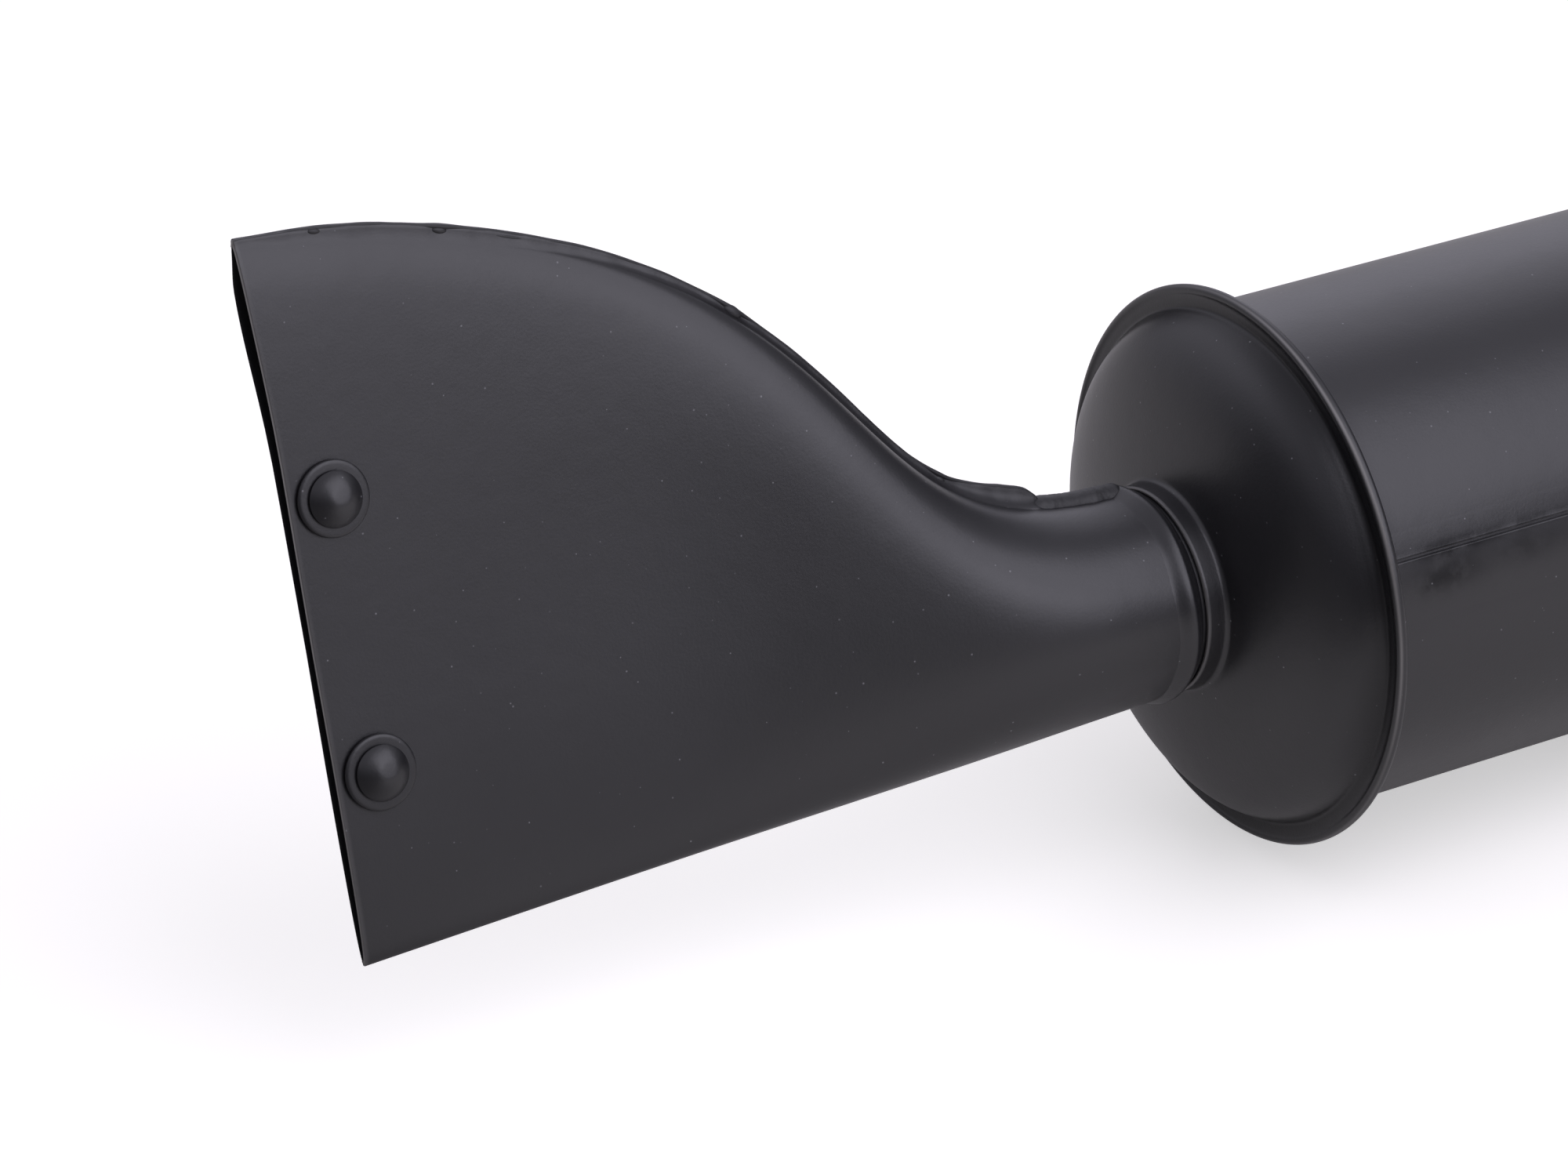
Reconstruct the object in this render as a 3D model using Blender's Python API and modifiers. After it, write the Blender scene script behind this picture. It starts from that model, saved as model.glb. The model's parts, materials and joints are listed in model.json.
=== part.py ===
"""A fishtail exhaust silencer in satin black sheet steel.

A rolled can sits between two domed end caps. A folded fishtail is welded to the rear cap and held
open by two riveted spacers. The front has a slotted inlet with its clamp, and a mounting channel
is welded under the can. Perforated tubes and baffle plates fill the can.

Metres, +Z up. X runs along the can's axis: the tail's mouth is towards -X and the inlet towards +X.
The origin is the middle of the mounting channel's sole.
"""

import math

import bmesh
import bpy
from mathutils import Matrix, Vector

# Sheet and fits
SHEET = 0.0010
CLEARANCE = 0.0003
MERGE_DISTANCE = 0.00001

# Can
CAN_RADIUS = 0.054
CAN_LENGTH = 0.320
RIM_WIDTH = 0.006
FLANGE_BEND_RADIUS = 0.0010
LAP_ANGLE = 66.7
LAP_WIDTH = 0.0070
LAP_STEP = 0.0009

# End caps
DOME_DEPTH = 0.0154
DOME_FULLNESS = 2.3
DOME_LAST_ANGLE = 83.0
BRIM_FILLET = 0.0015
NECK_HEIGHT = 0.0050
NECK_FILLET = 0.0012

# Fishtail
TAIL_ROLL = -17.0
TAIL_PIPE_RADIUS = 0.022
TAIL_GROOVE = 0.0018
TAIL_LENGTH = 0.1867
TAIL_ROUND_LENGTH = 0.018
MOUTH_TOP = 0.115
MOUTH_BOTTOM = 0.029
MOUTH_THICKNESS = 0.0056
MOUTH_LAND = 0.022
MOUTH_SQUARENESS = 4.0
TOP_LINE_START = 0.0035
TOP_LINE_PIPE_PULL = 0.44
TOP_LINE_MOUTH_PULL = 0.81
TOP_LINE_MOUTH_DROP = 0.020
FLATTENING_BIAS = 1.5

# Standing seam along the tail's top
SEAM_GAP = 0.0006
SEAM_LIP = 0.0003
SEAM_FLANGE = 0.0014
SEAM_FLANGE_START = 0.016
SEAM_FLANGE_RAMP = 0.012
SEAM_MOUTH_RAMP = 0.014
SEAM_BEAD_RADIUS = 0.0008
SEAM_BEAD_SETBACK = 0.006

# Weld beads round the necks
NECK_BEAD_WIDTH = 0.0034
NECK_BEAD_HEIGHT = 0.0013
NECK_BEAD_EDGE = 0.0003

# Rivets, washers and spacers across the mouth
RIVET_SETBACK = 0.009
RIVET_UPPER = 0.0629
RIVET_LOWER = 0.0084
RIVET_RADIUS = 0.0030
RIVET_HEAD_RADIUS = 0.0052
RIVET_HEAD_HEIGHT = 0.0026
WASHER_RADIUS = 0.0076
WASHER_THICKNESS = 0.0014
WASHER_ROUNDING = 0.0010
SPACER_WALL = 0.0018

# Outlet tube
OUTLET_WALL = 0.0012
OUTLET_REACH = 0.013
OUTLET_DEPTH = 0.140

# Inlet tube and its slots
INLET_BORE_RADIUS = 0.021
INLET_WALL = 0.0015
INLET_STUB_LENGTH = 0.040
INLET_DEPTH = 0.110
INLET_SLOT_WIDTH = 0.0025
INLET_SLOT_LENGTH = 0.026

# Perforations in both tubes
PERFORATION_RADIUS = 0.0035
PERFORATION_PITCH = 0.022
PERFORATION_ROWS = 4
PERFORATIONS_ROUND = 6
PERFORATION_MARGIN = 0.014

# Plugs in the tubes' inner ends
PLUG_DEPTH = 0.006
PLUG_WALL = 0.0012

# Baffle plates
BAFFLE_WALL = 0.0012
BAFFLE_FLANGE = 0.008
BAFFLE_HOLE_RADIUS = 0.006
BAFFLE_HOLES = 6
BAFFLE_HOLE_WEB = 0.004
REAR_BAFFLE_PLACE = 0.100
FRONT_BAFFLE_PLACE = 0.069
MIDDLE_BAFFLE_GAP = 0.030

# Inlet clamp, its ears hanging down
CLAMP_ROLL = 180.0
CLAMP_WIDTH = 0.016
CLAMP_WALL = 0.0015
CLAMP_SETBACK = 0.004
CLAMP_GAP = 0.006
CLAMP_EAR_HEIGHT = 0.015
CLAMP_BOLT_HEIGHT = 0.008
CLAMP_BOLT_RADIUS = 0.0030
CLAMP_BOLT_HEAD = 0.0040
CLAMP_NUT_HEIGHT = 0.0050
CLAMP_HEX_FLATS = 0.010
CLAMP_WASHER_RADIUS = 0.0060
CLAMP_WASHER_THICKNESS = 0.0012
CLAMP_NUT_TRAVEL = 0.004
CLAMP_BOLT_SPARE = 0.002

# Mounting channel
CHANNEL_LENGTH = 0.120
CHANNEL_WIDTH = 0.044
CHANNEL_DEPTH = 0.010
CHANNEL_SHEET = 0.0025
CHANNEL_BEND_RADIUS = 0.0020
CHANNEL_BOLT_SETBACK = 0.020
CHANNEL_BOLT_RADIUS = 0.0040
CHANNEL_NUT_FLATS = 0.013
CHANNEL_NUT_HEIGHT = 0.0050

# Facets
ROUND_STEPS = 32
TUBE_STEPS = 24
SMALL_STEPS = 16
HOLE_STEPS = 8
DOME_POINTS = 6
ARC_POINTS = 3
TAIL_HALF_POINTS = 10
TAIL_STATIONS = 20
CLAMP_ARC_POINTS = 26
ROLL_POINTS = 4
BEAD_POINTS = 5
HEAD_POINTS = 4
HALVINGS = 40

# Worked out from the sizes above
RIM_RADIUS = CAN_RADIUS + RIM_WIDTH
RIM_HALF = 1.5 * SHEET + CLEARANCE
AXIS_HEIGHT = CAN_RADIUS + CHANNEL_DEPTH
REAR_RIM = -CAN_LENGTH / 2
FRONT_RIM = CAN_LENGTH / 2
DOME_RADIUS = CAN_RADIUS + SHEET / 2
INLET_RADIUS = INLET_BORE_RADIUS + INLET_WALL
INLET_NECK_RADIUS = INLET_RADIUS + CLEARANCE + SHEET
OUTLET_RADIUS = TAIL_PIPE_RADIUS - SHEET - CLEARANCE
HALF_MOUTH = MOUTH_THICKNESS / 2
SEAM_FACE = SHEET + SEAM_GAP / 2
CLAMP_BORE = INLET_RADIUS + CLEARANCE

FINISHES = {
    "satin_black": ((0.032, 0.032, 0.036), 0.42, 0.0),
    "bare_steel": ((0.34, 0.33, 0.32), 0.45, 1.0),
    "zinc_plate": ((0.55, 0.55, 0.53), 0.35, 1.0),
}


# Scene and placing

def clear_scene():
    """Empty the scene of whatever it holds."""
    for obj in list(bpy.data.objects):
        bpy.data.objects.remove(obj, do_unlink=True)


def new_collection(name):
    """A collection of this name, linked to the scene."""
    collection = bpy.data.collections.new(name)
    bpy.context.scene.collection.children.link(collection)
    return collection


def new_empty(name, parent=None, location=(0, 0, 0), roll=0.0):
    """An empty that carries pieces, turned about X by roll degrees."""
    empty = bpy.data.objects.new(name, None)
    PARTS.objects.link(empty)
    empty.parent = parent
    empty.location = location
    empty.rotation_euler = (math.radians(roll), 0, 0)
    return empty


def paint(obj, finish):
    """Give an object a material of its own in one of the finishes."""
    colour, roughness, metallic = FINISHES[finish]
    material = bpy.data.materials.new(f"{obj.name}_{finish}")
    material.use_nodes = True
    shader = material.node_tree.nodes["Principled BSDF"]
    shader.inputs["Base Color"].default_value = (*colour, 1.0)
    shader.inputs["Roughness"].default_value = roughness
    shader.inputs["Metallic"].default_value = metallic
    obj.data.materials.append(material)


def add_part(name, mesh, finish, parent, location=(0, 0, 0), turn=(0, 0, 0)):
    """A sub-part under its parent, with its finish."""
    obj = bpy.data.objects.new(name, mesh)
    PARTS.objects.link(obj)
    obj.parent = parent
    obj.location = location
    obj.rotation_euler = [math.radians(angle) for angle in turn]
    paint(obj, finish)
    return obj


def add_cutter(name, mesh, parent):
    """A tool shape that only cuts or joins other pieces."""
    obj = bpy.data.objects.new(name, mesh)
    CUTTERS.objects.link(obj)
    obj.parent = parent
    obj.hide_render = True
    obj.display_type = "WIRE"
    return obj


def combine(obj, tool, operation):
    """Cut or join an object with a tool shape."""
    boolean = obj.modifiers.new(tool.name, "BOOLEAN")
    boolean.operation = operation
    boolean.solver = "EXACT"
    boolean.object = tool


# Shapes

def arc(centre, radius, start, end, points=ARC_POINTS):
    """Points on an arc between two angles in degrees, both ends included."""
    found = []
    for step in range(points + 1):
        angle = math.radians(start + (end - start) * step / points)
        found.append((centre[0] + radius * math.cos(angle), centre[1] + radius * math.sin(angle)))
    return found


def enclosed_area(outline):
    """Signed area of an outline, positive when it runs anticlockwise."""
    pairs = zip(outline, outline[1:] + outline[:1])
    return sum(a[0] * b[1] - b[0] * a[1] for a, b in pairs) / 2


def offset_line(line, distance):
    """A line moved sideways to its left, with mitred corners."""
    points = [Vector(point) for point in line]
    moved = []
    for i, point in enumerate(points):
        before = (point - points[i - 1]).normalized() if i > 0 else None
        after = (points[i + 1] - point).normalized() if i < len(points) - 1 else None
        before = before or after
        after = after or before
        left = Vector((-before.y - after.y, before.x + after.x)).normalized()
        mitre = left.dot(Vector((-after.y, after.x)))
        moved.append(tuple(point + left * (distance / mitre)))
    return moved


def sheet_profile(line, thickness):
    """The closed section of a sheet whose one face is the line and whose back is to its left."""
    return line + offset_line(line, thickness)[::-1]


def turned(name, profile, finish, parent, location=(0, 0, 0), turn=(0, 0, 0), steps=ROUND_STEPS):
    """A piece turned about X from (along, radius) points; ends on the axis close by themselves."""
    if enclosed_area(profile) < 0:
        profile = profile[::-1]
    edges = [(i, i + 1) for i in range(len(profile) - 1)]
    if min(radius for _, radius in profile) > 0:
        edges.append((len(profile) - 1, 0))
    mesh = bpy.data.meshes.new(name)
    mesh.from_pydata([(along, radius, 0) for along, radius in profile], edges, [])
    obj = add_part(name, mesh, finish, parent, location, turn)
    screw = obj.modifiers.new("turning", "SCREW")
    screw.axis = "X"
    screw.steps = steps
    screw.render_steps = steps
    screw.use_merge_vertices = True
    screw.merge_threshold = MERGE_DISTANCE
    screw.use_smooth_shade = True
    return obj


def rods(name, places, radius, length, parent, steps=HOLE_STEPS):
    """A cutter of round rods, each centred on a point along a direction."""
    bm = bmesh.new()
    for point, direction in places:
        along = Vector(direction).to_track_quat("Z", "Y").to_matrix().to_4x4()
        bmesh.ops.create_cone(bm, cap_ends=True, segments=steps, radius1=radius, radius2=radius,
                              depth=length, matrix=Matrix.Translation(point) @ along)
    mesh = bpy.data.meshes.new(name)
    bm.to_mesh(mesh)
    bm.free()
    return add_cutter(name, mesh, parent)


def block(name, size, place, parent):
    """A cutter in the shape of a box, placed by a matrix."""
    bm = bmesh.new()
    bmesh.ops.create_cube(bm, size=1.0, matrix=place @ Matrix.Diagonal((*size, 1.0)))
    mesh = bpy.data.meshes.new(name)
    bm.to_mesh(mesh)
    bm.free()
    return add_cutter(name, mesh, parent)


def hexagon(name, flats, height):
    """A six-sided prism along X, from 0 to its height."""
    bm = bmesh.new()
    corner = flats / 2 / math.cos(math.pi / 6)
    along = Matrix.Rotation(math.pi / 2, 4, "Y")
    bmesh.ops.create_cone(bm, cap_ends=True, segments=6, radius1=corner, radius2=corner,
                          depth=height, matrix=Matrix.Translation((height / 2, 0, 0)) @ along)
    mesh = bpy.data.meshes.new(name)
    bm.to_mesh(mesh)
    bm.free()
    return mesh


def flat_outline(name, outline, depth):
    """A plate mesh of this outline in XY, with its depth centred on Z = 0."""
    curve = bpy.data.curves.new(name, "CURVE")
    curve.dimensions = "2D"
    curve.fill_mode = "BOTH"
    curve.extrude = depth / 2
    spline = curve.splines.new("POLY")
    spline.points.add(len(outline) - 1)
    for point, place in zip(spline.points, outline):
        point.co = (place[0], place[1], 0, 1)
    spline.use_cyclic_u = True
    guide = bpy.data.objects.new(name + "_outline", curve)
    CUTTERS.objects.link(guide)
    return solid_from_curve(name, guide)


def solid_from_curve(name, guide):
    """The mesh of a curve object with its caps welded; the curve is removed."""
    evaluated = guide.evaluated_get(bpy.context.evaluated_depsgraph_get())
    mesh = bpy.data.meshes.new_from_object(evaluated)
    mesh.name = name
    bpy.data.objects.remove(guide, do_unlink=True)
    bm = bmesh.new()
    bm.from_mesh(mesh)
    bmesh.ops.remove_doubles(bm, verts=bm.verts, dist=MERGE_DISTANCE)
    bmesh.ops.recalc_face_normals(bm, faces=bm.faces)
    bm.to_mesh(mesh)
    bm.free()
    return mesh


# An outline drawn in (y, z) and its depth along x
ACROSS_X = (90, 0, 90)


def ease(share):
    """Smooth step from 0 to 1."""
    share = min(max(share, 0.0), 1.0)
    return share * share * (3 - 2 * share)


# Can and end caps

def make_can(axis):
    """Rolled can with out-turned flanges at its ends and a lap seam along its side."""
    bend = FLANGE_BEND_RADIUS
    face = SHEET / 2
    tip = RIM_RADIUS - SHEET - CLEARANCE
    front = FRONT_RIM - face
    rear = REAR_RIM + face
    outside = [(front, tip)]
    outside += arc((front - bend, CAN_RADIUS + bend), bend, 0, -90)
    outside += arc((rear + bend, CAN_RADIUS + bend), bend, -90, -180)
    outside += [(rear, tip)]
    can = turned("can_shell", sheet_profile(outside, SHEET), "satin_black", axis)
    combine(can, lap_wedge(axis), "UNION")


def lap_wedge(axis):
    """The can's overlapping edge: a step along its upper side that runs out into the wall below."""
    length = CAN_LENGTH - 2 * (RIM_HALF + FLANGE_BEND_RADIUS)
    root = CAN_RADIUS - SHEET / 2
    bm = bmesh.new()
    bmesh.ops.create_cube(bm, size=1.0, matrix=Matrix.Diagonal((length, LAP_WIDTH, 1.0, 1.0)))
    for vert in bm.verts:
        proud = LAP_STEP if vert.co.y > 0 else 0.0
        vert.co.y -= LAP_WIDTH / 2
        vert.co.z = math.sqrt((CAN_RADIUS + proud) ** 2 - vert.co.y ** 2) if vert.co.z > 0 else root
    bmesh.ops.rotate(bm, verts=bm.verts, matrix=Matrix.Rotation(math.radians(LAP_ANGLE), 3, "X"))
    mesh = bpy.data.meshes.new("lap_wedge")
    bm.to_mesh(mesh)
    bm.free()
    return add_cutter("lap_wedge", mesh, axis)


def dome_height(radius):
    """Height of a cap's dome above the middle of its rim."""
    share = 1 - (radius / DOME_RADIUS) ** DOME_FULLNESS
    return RIM_HALF + DOME_DEPTH * share ** (1 / DOME_FULLNESS)


def neck_end(neck_radius):
    """Height of a cap's neck lip above the middle of its rim."""
    return dome_height(neck_radius) + NECK_HEIGHT


def cap_line(neck_radius):
    """A cap's outer face as (height, radius) points, from the neck's lip to the rolled hook."""
    foot = neck_radius + NECK_FILLET
    line = [(neck_end(neck_radius), neck_radius)]
    line += [(dome_height(foot) + NECK_FILLET, neck_radius)]
    first = math.asin((foot / DOME_RADIUS) ** (DOME_FULLNESS / 2))
    last = math.radians(DOME_LAST_ANGLE)
    for step in range(DOME_POINTS + 1):
        angle = first + (last - first) * step / DOME_POINTS
        radius = DOME_RADIUS * math.sin(angle) ** (2 / DOME_FULLNESS)
        line.append((dome_height(radius), radius))
    roll = RIM_RADIUS - RIM_HALF
    line.append((RIM_HALF, min(DOME_RADIUS + BRIM_FILLET, roll - SHEET / 2)))
    line += arc((0, roll), RIM_HALF, 0, 180, ROLL_POINTS)
    line.append((-RIM_HALF, CAN_RADIUS + FLANGE_BEND_RADIUS + CLEARANCE))
    return line


def make_cap(name, axis, rim, direction, neck_radius):
    """Domed end cap whose neck points along direction and whose rim is rolled over the can's flange."""
    section = sheet_profile(cap_line(neck_radius), SHEET)
    if direction < 0:
        section = [(-height, radius) for height, radius in section]
    turned(name, section, "satin_black", axis, (rim, 0, 0))


def make_neck_bead(name, axis, start, direction, radius):
    """Weld bead round a neck, as a low half-round ring."""
    seat = radius + SEAM_LIP + CLEARANCE
    middle = start + direction * NECK_BEAD_WIDTH / 2
    crown = []
    for step in range(BEAD_POINTS + 1):
        angle = math.pi * step / BEAD_POINTS
        height = NECK_BEAD_EDGE + (NECK_BEAD_HEIGHT - NECK_BEAD_EDGE) * math.sin(angle)
        crown.append((middle + NECK_BEAD_WIDTH / 2 * math.cos(angle), seat + height))
    foot = [(middle - NECK_BEAD_WIDTH / 2, seat), (middle + NECK_BEAD_WIDTH / 2, seat)]
    turned(name, foot + crown, "satin_black", axis, steps=TUBE_STEPS)


# Fishtail, in the tail's own frame: x from the rear rim, z up the tail, y across it

TAIL_START = neck_end(TAIL_PIPE_RADIUS) + TAIL_GROOVE
TAIL_END = TAIL_START + TAIL_LENGTH


def tail_top(distance):
    """Height of the sheet's top line at a distance behind the rear rim, an S-shaped Bezier."""
    start = TAIL_START + TOP_LINE_START
    run = TAIL_END - start
    if distance <= start:
        return TAIL_PIPE_RADIUS
    along = (0, TOP_LINE_PIPE_PULL * run, run - TOP_LINE_MOUTH_PULL * run, run)
    heights = (TAIL_PIPE_RADIUS, TAIL_PIPE_RADIUS, MOUTH_TOP - TOP_LINE_MOUTH_DROP, MOUTH_TOP)

    def bezier(values, t):
        a, b, c, d = values
        return (1 - t) ** 3 * a + 3 * (1 - t) ** 2 * t * b + 3 * (1 - t) * t * t * c + t ** 3 * d

    low, high = 0.0, 1.0
    for _ in range(HALVINGS):
        middle = (low + high) / 2
        if bezier(along, middle) < distance - start:
            low = middle
        else:
            high = middle
    return bezier(heights, low)


def tail_bottom(distance):
    """Height of the straight bottom fold at a distance behind the rear rim."""
    share = (distance - TAIL_START) / TAIL_LENGTH
    return -TAIL_PIPE_RADIUS - (MOUTH_BOTTOM - TAIL_PIPE_RADIUS) * share


def tail_flatness(distance):
    """How far the section has gone from round, 0, to the flat mouth, 1."""
    start = TAIL_START + TAIL_ROUND_LENGTH
    share = (distance - start) / (TAIL_END - MOUTH_LAND - start)
    share = min(max(share, 0.0), 1.0)
    return ease(1 - (1 - share) ** FLATTENING_BIAS)


def seam_flange(distance):
    """Height of the turned-up edges along the tail's top."""
    behind = distance - TAIL_START
    rise = ease((behind - SEAM_FLANGE_START) / SEAM_FLANGE_RAMP)
    fall = ease((TAIL_LENGTH - behind) / SEAM_MOUTH_RAMP)
    return SEAM_LIP + (SEAM_FLANGE - SEAM_LIP) * rise * fall


def tail_section(distance):
    """The sheet's outer line at one station: near flange, near side, fold, far side, far flange."""
    flatness = tail_flatness(distance)
    top, bottom = tail_top(distance), tail_bottom(distance)
    middle, half_height = (top + bottom) / 2, (top - bottom) / 2
    half_width = TAIL_PIPE_RADIUS + (HALF_MOUTH - TAIL_PIPE_RADIUS) * flatness
    power = 2 / (2 + (MOUTH_SQUARENESS - 2) * flatness)
    highest = math.acos((SEAM_FACE / half_width) ** (1 / power))
    half = []
    for step in range(TAIL_HALF_POINTS + 1):
        angle = highest - (highest + math.pi / 2) * step / TAIL_HALF_POINTS
        across = half_width * max(math.cos(angle), 0.0) ** power
        up = half_height * math.copysign(abs(math.sin(angle)) ** power, math.sin(angle))
        half.append((across, middle + up))
    half[-1] = (0.0, bottom)
    half.insert(0, (half[0][0], half[0][1] + seam_flange(distance)))
    near = [(-across, up) for across, up in half]
    return near + half[-2::-1]


def make_tail(plane):
    """Fishtail folded from one sheet along its bottom, round at the neck and a slit at the mouth."""
    bm = bmesh.new()
    rows = []
    for station in range(TAIL_STATIONS + 1):
        distance = TAIL_START + TAIL_LENGTH * station / TAIL_STATIONS
        rows.append([bm.verts.new((-distance, y, z)) for y, z in tail_section(distance)])
    for row, following in zip(rows, rows[1:]):
        for i in range(len(row) - 1):
            bm.faces.new((row[i], following[i], following[i + 1], row[i + 1]))
    mesh = bpy.data.meshes.new("tail_shell")
    bm.to_mesh(mesh)
    bm.free()
    mesh.shade_smooth()
    tail = add_part("tail_shell", mesh, "satin_black", plane)
    wall = tail.modifiers.new("wall", "SOLIDIFY")
    wall.thickness = SHEET
    wall.offset = -1
    wall.use_even_offset = True
    places = [((RIVET_X, 0, height), (0, 1, 0)) for height in (RIVET_UPPER, RIVET_LOWER)]
    holes = rods("rivet_holes", places, RIVET_RADIUS + CLEARANCE, 2 * MOUTH_THICKNESS, plane, SMALL_STEPS)
    combine(tail, holes, "DIFFERENCE")


def make_seam_bead(plane):
    """Weld bead along the turned-up edges, from the neck's bead to just short of the mouth."""
    start = TAIL_START + NECK_BEAD_WIDTH + CLEARANCE
    end = TAIL_END - SEAM_BEAD_SETBACK
    curve = bpy.data.curves.new("tail_seam_weld", "CURVE")
    curve.dimensions = "3D"
    curve.bevel_depth = SEAM_BEAD_RADIUS
    curve.bevel_resolution = 1
    curve.use_fill_caps = True
    spline = curve.splines.new("POLY")
    spline.points.add(TAIL_STATIONS)
    for station, point in enumerate(spline.points):
        distance = start + (end - start) * station / TAIL_STATIONS
        lift = seam_flange(distance) + CLEARANCE + SEAM_BEAD_RADIUS
        slope = tail_top(distance + SHEET) - tail_top(distance - SHEET)
        normal = Vector((slope, 0, 2 * SHEET)).normalized()
        point.co = (-distance + lift * normal.x, 0, tail_top(distance) + lift * normal.z, 1)
    guide = bpy.data.objects.new("seam_line", curve)
    CUTTERS.objects.link(guide)
    mesh = solid_from_curve("tail_seam_weld", guide)
    add_part("tail_seam_weld", mesh, "satin_black", plane)


RIVET_X = -(TAIL_END - RIVET_SETBACK)
ALONG_Y = (0, 0, 90)


def make_rivet(name, plane, height):
    """Rivet through both walls of the mouth, with a low dome at each end."""
    seat = HALF_MOUTH + CLEARANCE + WASHER_THICKNESS + CLEARANCE
    dome = []
    for step in range(HEAD_POINTS + 1):
        angle = math.pi / 2 * (1 - step / HEAD_POINTS)
        dome.append((seat + RIVET_HEAD_HEIGHT * math.sin(angle), RIVET_HEAD_RADIUS * math.cos(angle)))
    dome[0] = (seat + RIVET_HEAD_HEIGHT, 0.0)
    half = dome + [(seat, RIVET_RADIUS)]
    profile = half + [(-along, radius) for along, radius in half[::-1]]
    turned(name, profile, "satin_black", plane, (RIVET_X, 0, height), ALONG_Y, SMALL_STEPS)


def make_washer(name, plane, height, side):
    """Thick washer with rounded edges under a rivet's head; side is -1 near and 1 far."""
    bore = RIVET_RADIUS + CLEARANCE
    centre = (WASHER_THICKNESS - WASHER_ROUNDING, WASHER_RADIUS - WASHER_ROUNDING)
    profile = [(0, bore), (0, WASHER_RADIUS)]
    profile += arc(centre, WASHER_ROUNDING, 90, 0) + [(WASHER_THICKNESS, bore)]
    start = HALF_MOUTH + CLEARANCE
    placed = [(side * (start + along), radius) for along, radius in profile]
    turned(name, placed, "satin_black", plane, (RIVET_X, 0, height), ALONG_Y, SMALL_STEPS)


def ring_profile(start, end, bore, radius):
    """A plain ring's section."""
    return [(start, bore), (start, radius), (end, radius), (end, bore)]


def make_spacer(name, plane, height):
    """Sleeve on the rivet that holds the mouth's walls apart."""
    bore = RIVET_RADIUS + CLEARANCE
    half = HALF_MOUTH - SHEET - CLEARANCE
    section = ring_profile(-half, half, bore, bore + SPACER_WALL)
    turned(name, section, "bare_steel", plane, (RIVET_X, 0, height), ALONG_Y, SMALL_STEPS)


# Inside the can

def perforate(tube, name, axis, first, direction, radius):
    """Rows of holes through a tube's wall, staggered from row to row."""
    places = []
    for row in range(PERFORATION_ROWS):
        along = first + direction * PERFORATION_PITCH * row
        for i in range(PERFORATIONS_ROUND):
            angle = 2 * math.pi * (i + 0.5 * (row % 2)) / PERFORATIONS_ROUND
            out = Vector((0, math.cos(angle), math.sin(angle)))
            places.append((Vector((along, 0, 0)) + out * radius, out))
    holes = rods(name, places, PERFORATION_RADIUS, radius, axis)
    combine(tube, holes, "DIFFERENCE")


def make_plug(name, axis, end, direction, bore):
    """Pressed cup that closes a tube's inner end; direction points out of the tube."""
    radius = bore - CLEARANCE
    back = end - direction * PLUG_DEPTH
    face = end
    cup = [(face, 0.0), (face, radius), (back, radius), (back, radius - PLUG_WALL)]
    cup += [(face - direction * PLUG_WALL, radius - PLUG_WALL), (face - direction * PLUG_WALL, 0.0)]
    turned(name, cup, "bare_steel", axis, steps=TUBE_STEPS)


def make_outlet(axis):
    """Perforated tube from inside the can through the rear neck into the tail, and its plug."""
    bore = OUTLET_RADIUS - OUTLET_WALL
    inner_end = REAR_RIM + OUTLET_DEPTH
    section = ring_profile(REAR_RIM - TAIL_START - OUTLET_REACH, inner_end, bore, OUTLET_RADIUS)
    tube = turned("outlet_tube", section, "bare_steel", axis, steps=TUBE_STEPS)
    perforate(tube, "outlet_perforations", axis, REAR_RIM + PERFORATION_MARGIN, 1, OUTLET_RADIUS)
    make_plug("outlet_plug", axis, inner_end, 1, bore)


INLET_END = FRONT_RIM + neck_end(INLET_NECK_RADIUS) + INLET_STUB_LENGTH


def make_inlet(axis):
    """Inlet tube with a slotted outer end for the clamp, perforations inside the can, and its plug."""
    inner_end = FRONT_RIM - INLET_DEPTH
    section = ring_profile(inner_end, INLET_END, INLET_BORE_RADIUS, INLET_RADIUS)
    tube = turned("inlet_tube", section, "satin_black", axis, steps=TUBE_STEPS)
    perforate(tube, "inlet_perforations", axis, FRONT_RIM - PERFORATION_MARGIN, -1, INLET_RADIUS)
    place = Matrix.Translation((INLET_END, 0, 0))
    for name, turn in (("slots_one_way", 45), ("slots_other_way", 135)):
        size = (2 * INLET_SLOT_LENGTH, 3 * INLET_RADIUS, INLET_SLOT_WIDTH)
        slot = block(name, size, place @ Matrix.Rotation(math.radians(turn), 4, "X"), axis)
        combine(tube, slot, "DIFFERENCE")
    make_plug("inlet_plug", axis, inner_end, -1, INLET_BORE_RADIUS)


def make_baffle(name, axis, place, direction, bore):
    """Flanged plate across the can with gas holes; bore is 0 for a plate with no tube through it."""
    radius = CAN_RADIUS - SHEET - CLEARANCE
    wall, flange = BAFFLE_WALL, BAFFLE_FLANGE
    section = [(0, bore), (0, radius), (flange, radius), (flange, radius - wall)]
    section += [(wall, radius - wall), (wall, bore)]
    section = [(direction * along, across) for along, across in section]
    plate = turned(name, section, "bare_steel", axis, (place, 0, 0))
    outermost = radius - wall - BAFFLE_HOLE_WEB - BAFFLE_HOLE_RADIUS
    places = []
    for i in range(BAFFLE_HOLES):
        angle = 2 * math.pi * i / BAFFLE_HOLES
        spot = (place, outermost * math.cos(angle), outermost * math.sin(angle))
        places.append((spot, (1, 0, 0)))
    holes = rods(name + "_holes", places, BAFFLE_HOLE_RADIUS, 4 * wall, axis)
    combine(plate, holes, "DIFFERENCE")


# Inlet clamp, in a frame on the can's axis at the clamp's middle

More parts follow.
